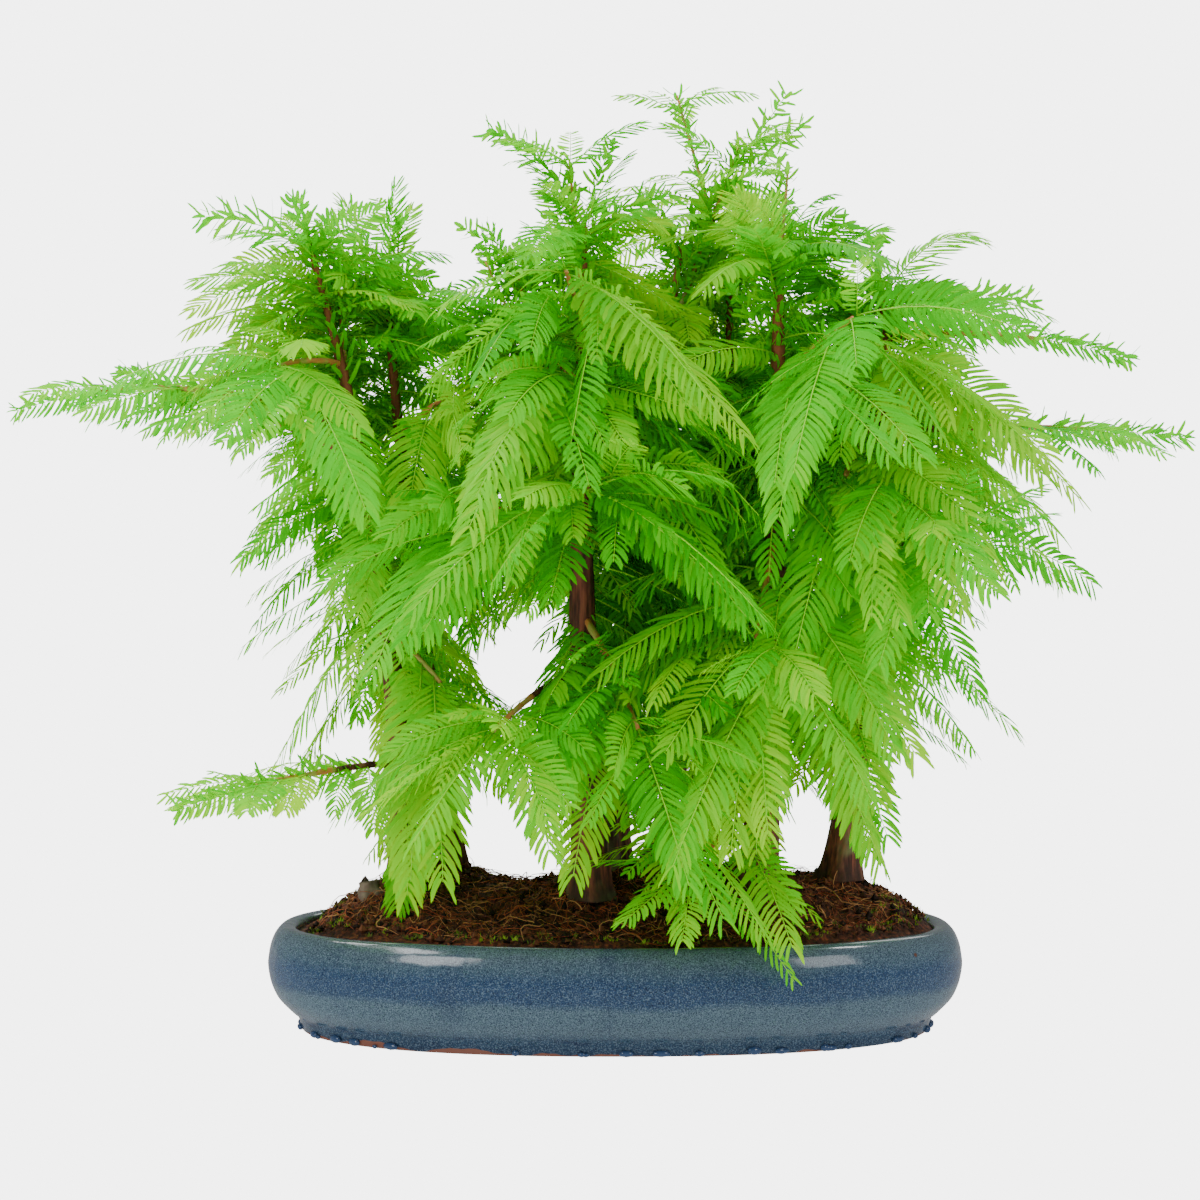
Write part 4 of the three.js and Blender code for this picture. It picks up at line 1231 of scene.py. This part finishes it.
def clear_of_pot(lines):
    """The lines that stay over the soil and the pot's rim, and inside the model's box."""
    points = line_point(lines[:, None], TESTED_AT)
    inside = oval_reach(points[..., :2], 0.0) < RIM_REACH
    floor = np.maximum(soil_height(points[..., 0], points[..., 1]), POT_TOP) + SOIL_MARGIN
    low, high = (np.array(corner) / MM for corner in MODEL_BOX)
    boxed = np.all((points > low - BOX_MARGIN) & (points < high + BOX_MARGIN), axis=(1, 2))
    return lines[np.all(~inside | (points[..., 2] > floor), axis=1) & boxed]


def as_seen(points):
    """Where the eye sees points on the plane of the stems: x and z of the sight lines there."""
    return (EYE + (points - EYE) * (EYE[1] / (EYE[1] - points[..., 1:2])))[..., [0, 2]]


def clear_of_gaps(lines):
    """The lines that leave the crown's gaps open: fewer than two of four points of a line lie in one."""
    seen = as_seen(line_point(lines[:, None], TESTED_AT))[:, None]
    gaps = OPENINGS[:, None]
    inside = np.sum(((seen - gaps[..., :2]) / (gaps[..., 2:] + GAP_MARGIN)) ** 2, axis=-1) < 1
    return lines[np.all(np.sum(inside, axis=-1) < 2, axis=1)]


def clear_of_wood(lines):
    """The lines that leave seen wood in sight: none of four points of a line lies before it."""
    points = line_point(lines[:, None], WOOD_TESTED_AT)
    shown = np.stack([trunk_point(STEMS[name], share) for name, share, _, _ in SEEN_WOOD])
    size = np.array([row[2:] for row in SEEN_WOOD], float)
    apart = (as_seen(points)[:, :, None] - as_seen(shown)) / size
    before = points[:, :, None, 1] < shown[:, 1]
    return lines[~np.any(before & (np.sum(apart ** 2, axis=-1) < 1), axis=(1, 2))]


def freshness_at(lines):
    """What the fresh and dark places add to lines: bell curves of the distance as the eye sees it."""
    apart = np.sum((as_seen(line_point(lines, 0.5))[:, None] - FRESH_PLACES[:, :2]) ** 2, axis=-1)
    return np.exp(-apart / FRESH_PLACES[:, 2] ** 2) @ FRESH_PLACES[:, 3]


# One leaflet: shares of its length and half width at its points, from the root along the left and the
# right edge of each station to the tip
LEAFLET_STATIONS = ((0.12, 0.72), (0.52, 1.0), (0.87, 0.8))
LEAFLET_REACH = np.array([0.0] + [reach for reach, _ in LEAFLET_STATIONS for _ in range(2)] + [1.0])
LEAFLET_ACROSS = np.array([0.0] + [width * hand for _, width in LEAFLET_STATIONS for hand in (-1, 1)] + [0.0])
LEAFLET_QUADS = np.array([(1, 3, 4, 2), (3, 5, 6, 4)])
LEAFLET_ENDS = np.array([(0, 1, 2), (5, 7, 6)])

# Leaflets on a frond: share at which they start and over which they stand, jitter of a pair, degrees from
# the midrib at the root, by which they close towards the tip, the power of that, and the spread
FIRST_LEAFLET, LEAFLET_SPAN, PAIR_JITTER = 0.07, 0.925, 0.3
LEAFLET_ANGLE, CLOSING_ANGLE, CLOSING_POWER, ANGLE_SPREAD = 70, 34, 1.7, 9
# Droop of a whole frond's leaflets and of each one, turn of a blade and bend towards the tip
FROND_DROOP, LEAFLET_DROOP, BLADE_TURN, BLADE_BEND = 0.3, 0.16, 0.7, 0.24
# Millimetres between the pairs on a shoot, and radians that each turns on from the one before
SHOOT_PITCH, SHOOT_TURN = 2.5, 1.2

# Number of greens, from the darkest to the freshest. Freshness of a mass, what chance adds to it, what low
# and bright masses have more, and the range from frond to frond. The first and last of a stem's sprouts
SHADES = 9
FRESH_MASS, FRESH_CHANCE, FRESH_LOW, FRESH_BRIGHT, FRESH_FROND = 0.3, 0.3, 0.16, 0.12, 0.44
FRESH_SPROUT, FRESH_SPROUTS = 0.26, 0.5
# Size of leaflets on the shoots of the left stems' leaders, of their sprouts, and of all other shoots
LEFT_LEADERS, LEFT_SPROUTS, OTHER_SHOOTS = 1.0, 0.85, 0.72
# The share at which leaflets start on a leader and on a shoot, the share where their wood and all midribs
# end, and the stations of a midrib
LEADER_START, SHOOT_START, WOOD_END, MIDRIB_STATIONS = 0.2, 0.08, 0.985, 8


def leaflet_mesh(point, ahead, upper, length, width, curl, bend):
    """Points and faces of leaflets: each point lies ahead by its reach, across by its half width and by the
    bend times the square of the reach, and is lowered by the curl times that square."""
    across = unit(np.cross(ahead, upper))
    face = np.cross(across, ahead)
    lift = -(curl * length)[:, None] * LEAFLET_REACH ** 2
    points = (
        point[:, None] + ahead[:, None] * (LEAFLET_REACH * length[:, None])[..., None]
        + across[:, None] * (
            LEAFLET_ACROSS * width[:, None] + (bend * length)[:, None] * LEAFLET_REACH ** 2)[..., None]
        + face[:, None] * lift[..., None])
    first = (np.arange(len(point)) * len(LEAFLET_REACH))[:, None, None]
    quads, ends = (LEAFLET_QUADS + first).reshape(-1, 4), (LEAFLET_ENDS + first).reshape(-1, 3)
    return points.reshape(-1, 3), [quads, ends]


def leaflet_order(pairs):
    """For lines with so many pairs of leaflets: the line of each leaflet and its number on that line."""
    owner = np.repeat(np.arange(len(pairs)), pairs * 2)
    return owner, np.arange(owner.size) - np.repeat(np.cumsum(pairs * 2) - pairs * 2, pairs * 2)


def frond_leaflets(lines, plant):
    """Leaflets in pairs along fronds.

    They start past a short bare stalk, stand at 70 degrees to the midrib and ever closer to it towards the
    tip, and their length follows a half sine wave along the frond.
    """
    most = plant.leaflet_most / MM
    pairs = np.maximum(4, np.round(lines["length"] * MM / plant.leaflet_pitch)).astype(int)
    owner, order = leaflet_order(pairs)
    line = lines[owner]
    seed = line["seed"] * 7 + order
    hand = np.where(order % 2, 1.0, -1.0)
    share = FIRST_LEAFLET + LEAFLET_SPAN * (order // 2 + PAIR_JITTER * chance(seed, 1)) / pairs[owner]
    along, side, upper = line_axes(line, share)
    angle = LEAFLET_ANGLE - CLOSING_ANGLE * share ** CLOSING_POWER + either_way(seed, 2, ANGLE_SPREAD)
    angle = np.radians(angle)[:, None]
    droop = (either_way(line["seed"], 31, FROND_DROOP, 0.35) + either_way(seed, 3, LEAFLET_DROOP))[:, None]
    ahead = unit(along * np.cos(angle) + side * hand[:, None] * np.sin(angle) - upper * droop)
    upper = upper + along * either_way(seed, 8, BLADE_TURN, 0.3)[:, None]
    wave = np.sin(np.pi * (0.17 + 0.7 * share)) ** 0.75
    length = np.minimum(line["length"] * plant.leaflet_share, most) * wave * (0.93 + 0.14 * chance(seed, 4))
    width = plant.leaflet_width / MM / 2 * (0.55 + 0.45 * length / most) * (0.9 + 0.2 * chance(seed, 5))
    curl = 0.08 + 0.2 * chance(seed, 6)
    fresher = 0.16 * (share - 0.5) + either_way(seed, 7, 0.22)
    return (line_point(line, share), ahead, upper, length, width, curl, BLADE_BEND * hand), owner, fresher


def shoot_leaflets(lines, start, plant, scale):
    """Leaflets straight on shoots: pairs that turn by about 70 degrees from one to the next, each blade
    twisted on its own stalk."""
    pairs = np.maximum(5, np.round((1 - start) * lines["length"] / SHOOT_PITCH)).astype(int)
    owner, number = leaflet_order(pairs)
    line = lines[owner]
    seed = line["seed"] * 9 + number
    share = start + (0.99 - start) * (number // 2 + 0.5) / pairs[owner]
    along, side, upper = line_axes(line, share)
    around = (number % 2) * np.pi + (number // 2) * SHOOT_TURN + either_way(seed, 1, 0.8)
    out = side * np.cos(around)[:, None] + upper * np.sin(around)[:, None]
    ahead = unit(along * (0.2 + 0.7 * chance(seed, 2))[:, None] + out)
    over = unit(along - ahead * np.sum(along * ahead, axis=-1, keepdims=True))
    twist = np.radians(either_way(seed, 5, 90))[:, None]
    over = over * np.cos(twist) + np.cross(ahead, over) * np.sin(twist)
    size = scale * (17 + 8 * chance(seed, 3)) * (1 - 0.45 * share) * np.clip(line["length"] / 60, 0.7, 1)
    width = np.full(len(size), plant.leaflet_width / MM / 2)
    curl, bend = 0.5 * chance(seed, 4) - 0.4, chance(seed, 6) * 0.4
    return line_point(line, share), ahead, over, size, width, curl, bend


def leaf_finishes(plant):
    """The greens: their square roots run evenly from dark over middle to bright."""
    roots = np.sqrt([plant.leaf_dark, plant.leaf_middle, plant.leaf_bright])
    shares = np.linspace(0, 1, SHADES)
    colors = [[float(np.interp(share, (0, 0.5, 1), root)) ** 2 for root in roots.T] for share in shares]
    return [leaf_finish(f"leaf {index}", color) for index, color in enumerate(colors, 1)]


def add_needles(name, leaves, plant, fronds, freshness, extra=None, replaced=()):
    """A piece of leaflets on fronds, and of extra ones, each with the green of its freshness."""
    parts, owner, fresher = frond_leaflets(fronds, plant)
    fresh = (freshness + freshness_at(fronds))[owner] + fresher
    if extra is not None:
        parts = [np.concatenate([part, more]) for part, more in zip(parts, extra)]
        fresh = np.concatenate([fresh, 0.4 + 0.36 * chance(np.arange(len(extra[0])), 64)])
    shade = np.clip(fresh * SHADES, 0, SHADES - 1).astype(int)
    points, faces = leaflet_mesh(*parts)
    tints = [np.repeat(shade, len(LEAFLET_QUADS)), np.repeat(shade, len(LEAFLET_ENDS))]
    add_piece(name, points, faces, leaves, tints=tints, smooth=False, replaced=replaced)


def build_foliage(limbs, plant):
    """Every mass: its fronds by the model's rule with lesser ones beside them, joined as needles, and the
    midribs and twigs of each stem joined apart."""
    leaves = leaf_finishes(plant)
    midrib, twig = plain_finish("midrib", plant.midrib, 0.5), twig_finish(plant)
    midribs, twigs = {name: [] for name in STEMS}, {name: [] for name in STEMS}
    for limb in limbs:
        name, stem, habit = limb["name"], limb["stem"], limb["habit"]
        upright = habit == "upright"
        size = LEFT_LEADERS if upright and stem.startswith("left") else OTHER_SHOOTS
        extra = None
        if upright or habit == "reaching":
            extra = shoot_leaflets(limb["line"], LEADER_START, plant, size)
        fronds = limb_fronds(limb)
        base = FRESH_MASS + FRESH_CHANCE * chance(limb["index"], 61)
        base = base + FRESH_LOW * (habit in ("low", "hanging")) + FRESH_BRIGHT * ("bright" in name)
        freshness = base + either_way(fronds["seed"], 62, FRESH_FROND, 0.4)
        add_needles(f"needles_{name}", leaves, plant, fronds, freshness, extra, (f"foliage_{name}",))
        midribs[stem].append(fronds)
        wood_end = WOOD_END if upright else limb["stem_end"]
        twigs[stem].append(limb_wood(limb, limb["bare"], wood_end, TWIG_GRID))
    for index, (name, trunk) in enumerate(STEMS.items()):
        fronds, young = sprouts(trunk, index), shoots(trunk, index)
        freshness = FRESH_SPROUT + FRESH_SPROUTS * chance(fronds["seed"], 63)
        extra = shoot_leaflets(
            young, SHOOT_START, plant, LEFT_SPROUTS if name.startswith("left") else OTHER_SHOOTS)
        add_needles(f"needles_on_{name}", leaves, plant, fronds, freshness, extra)
        lines = np.concatenate([*midribs[name], fronds, young])
        share = np.linspace(0, WOOD_END, MIDRIB_STATIONS)
        girth = (0.62 - 0.4 * share) * np.clip(lines["length"] / 90, 0.5, 1)[:, None]
        add_tubes(f"midribs_{name}", line_rings(lines, share[None], girth[..., None], 3), [midrib])
        add_tubes(f"twigs_{name}", np.concatenate(twigs[name]), [twig])


# The stage

# Lamps: name, place and size in metres, power in watts
LAMPS = [
    ("lamp_left", (-1.5, -1.7, 1.7), (0.9, 0.9), 30.0),
    ("lamp_right", (1.7, -1.4, 1.3), (0.8, 0.9), 14.0),
    ("lamp_back", (0.3, 1.7, 1.8), (1.8, 1.4), 34.0),
    ("lamp_over_left", (-0.8, 0.06, 1.25), (1.3, 0.3), 20.0),
    ("lamp_over_right", (0.72, 0.02, 1.25), (0.16, 0.4), 7.0),
]
LIT_POINT = np.array([0.0, 0.0, 0.2])
FRAME_WIDTH, FLOOR_REACH = 36.0, 40.0
# What the glaze mirrors of the even light and of the floor, as shares of the even light
MIRRORED_SKY, MIRRORED_FLOOR = 0.3, 0.5
WHITE = (1.0, 1.0, 1.0)


def place_camera(scene, stage):
    """The camera: level, looking along Y."""
    camera = bpy.data.objects.new("camera", bpy.data.cameras.new("camera"))
    camera.data.lens = stage.lens
    camera.data.sensor_width = FRAME_WIDTH
    camera.location = stage.eye
    camera.rotation_euler = (math.pi / 2, 0.0, 0.0)
    scene.collection.objects.link(camera)
    scene.camera = camera


def light_evenly(scene, stage):
    """Even white light from all sides; mirrored rays meet a weaker one, and the camera sees the backdrop."""
    world = bpy.data.worlds.new("even light")
    world.use_nodes = True
    tree = world.node_tree
    light = tree.nodes["Background"]
    seen, mirrored = (tree.nodes.new("ShaderNodeBackground") for _ in range(2))
    strengths = ((light, stage.sky), (seen, stage.backdrop), (mirrored, stage.sky * MIRRORED_SKY))
    for background, strength in strengths:
        background.inputs["Color"].default_value = (*WHITE, 1.0)
        background.inputs["Strength"].default_value = strength
    ray = tree.nodes.new("ShaderNodeLightPath")
    surface = light.outputs[0]
    for rays, background in (("Is Glossy Ray", mirrored), ("Is Camera Ray", seen)):
        both = tree.nodes.new("ShaderNodeMixShader")
        for number, output in enumerate((ray.outputs[rays], surface, background.outputs[0])):
            tree.links.new(output, both.inputs[number])
        surface = both.outputs[0]
    tree.links.new(surface, tree.nodes["World Output"].inputs["Surface"])
    scene.world = world


def hang_lamps(scene):
    """Area lamps that face the forest: each tilted by the angle between up and its way from the lit point,
    and turned by that way's bearing."""
    for name, place, (width, height), power in LAMPS:
        panel = bpy.data.lights.new(name, "AREA")
        panel.shape = "RECTANGLE"
        panel.size, panel.size_y = width, height
        panel.energy = power
        lamp = bpy.data.objects.new(name, panel)
        away = np.array(place) - LIT_POINT
        lamp.location = place
        lamp.rotation_euler = (
            math.acos(away[2] / np.linalg.norm(away)), 0.0, math.atan2(away[1], away[0]) + math.pi / 2)
        scene.collection.objects.link(lamp)


def lay_floor(scene, stage):
    """A wide pale square that glows; mirrored rays meet an even light, and the camera sees the backdrop."""
    mesh = bpy.data.meshes.new("floor")
    signs = ((-1, -1), (1, -1), (1, 1), (-1, 1))
    mesh.from_pydata([(x * FLOOR_REACH, y * FLOOR_REACH, 0) for x, y in signs], [], [(0, 1, 2, 3)])
    pale = Finish("pale floor")
    look = pale.node("ShaderNodeBsdfPrincipled", {
        "Base Color": tuple(stage.floor), "Roughness": 0.9, "Specular IOR Level": 0.1,
        "Emission Color": WHITE, "Emission Strength": stage.glow})
    for rays, strength in (("Is Glossy Ray", stage.sky * MIRRORED_FLOOR), ("Is Camera Ray", stage.backdrop)):
        met = pale.node("ShaderNodeLightPath", {}, output=rays)
        even = pale.node("ShaderNodeEmission", {"Strength": strength})
        look = pale.node("ShaderNodeMixShader", {0: met, 1: look, 2: even})
    pale.surface(look)
    mesh.materials.append(pale.material)
    floor = bpy.data.objects.new("floor", mesh)
    scene.collection.objects.link(floor)


# Operators


class FOREST_OT_stage(bpy.types.Operator):
    """Lay the floor, hang the lights and set the camera"""

    bl_idname = "forest.stage"
    bl_label = "Build the stage"

    def execute(self, context):
        stage = context.scene.forest_stage
        place_camera(context.scene, stage)
        light_evenly(context.scene, stage)
        hang_lamps(context.scene)
        lay_floor(context.scene, stage)
        return {"FINISHED"}


class FOREST_OT_pot(bpy.types.Operator):
    """Make the glazed pot and the beads of glaze at its foot"""

    bl_idname = "forest.pot"
    bl_label = "Build the pot"

    def execute(self, context):
        build_pot(context.scene.forest_pot)
        build_beads()
        return {"FINISHED"}


class FOREST_OT_soil(bpy.types.Operator):
    """Make the soil with its rootlets, crumbs and moss"""

    bl_idname = "forest.soil"
    bl_label = "Build the soil"

    def execute(self, context):
        soil = context.scene.forest_soil
        for build in (build_soil, build_rootlets, build_crumbs, build_moss):
            build(soil)
        return {"FINISHED"}


class FOREST_OT_stems(bpy.types.Operator):
    """Make the stems and the bare boughs with their bark"""

    bl_idname = "forest.stems"
    bl_label = "Build stems and boughs"

    def execute(self, context):
        bark = bark_finish(context.scene.forest_plant)
        build_stems(bark)
        build_boughs(limb_records(), bark)
        build_stump()
        return {"FINISHED"}


class FOREST_OT_foliage(bpy.types.Operator):
    """Grow the twigs, fronds and needles of every mass"""

    bl_idname = "forest.foliage"
    bl_label = "Grow the foliage"

    def execute(self, context):
        build_foliage(limb_records(), context.scene.forest_plant)
        return {"FINISHED"}


OPERATORS = (FOREST_OT_stage, FOREST_OT_pot, FOREST_OT_soil, FOREST_OT_stems, FOREST_OT_foliage)
SETTINGS = {
    "forest_stage": ForestStageSettings,
    "forest_pot": ForestPotSettings,
    "forest_soil": ForestSoilSettings,
    "forest_plant": ForestPlantSettings,
}


class FOREST_PT_panel(bpy.types.Panel):
    """Settings and steps of the forest"""

    bl_label = "Dawn redwood forest"
    bl_space_type = "VIEW_3D"
    bl_region_type = "UI"
    bl_category = "Forest"

    def draw(self, context):
        for name, group in SETTINGS.items():
            box = self.layout.box()
            for setting in group.__annotations__:
                box.prop(getattr(context.scene, name), setting)
        for operator in OPERATORS:
            self.layout.operator(operator.bl_idname)


def register():
    for group in (*SETTINGS.values(), *OPERATORS, FOREST_PT_panel):
        bpy.utils.register_class(group)
    for name, group in SETTINGS.items():
        setattr(bpy.types.Scene, name, bpy.props.PointerProperty(type=group))


def unregister():
    for name in SETTINGS:
        delattr(bpy.types.Scene, name)
    for group in reversed((*SETTINGS.values(), *OPERATORS, FOREST_PT_panel)):
        bpy.utils.unregister_class(group)


def main():
    register()
    bpy.ops.forest.stage()
    bpy.ops.forest.pot()
    bpy.ops.forest.soil()
    bpy.ops.forest.stems()
    bpy.ops.forest.foliage()


if __name__ == "__main__":
    main()
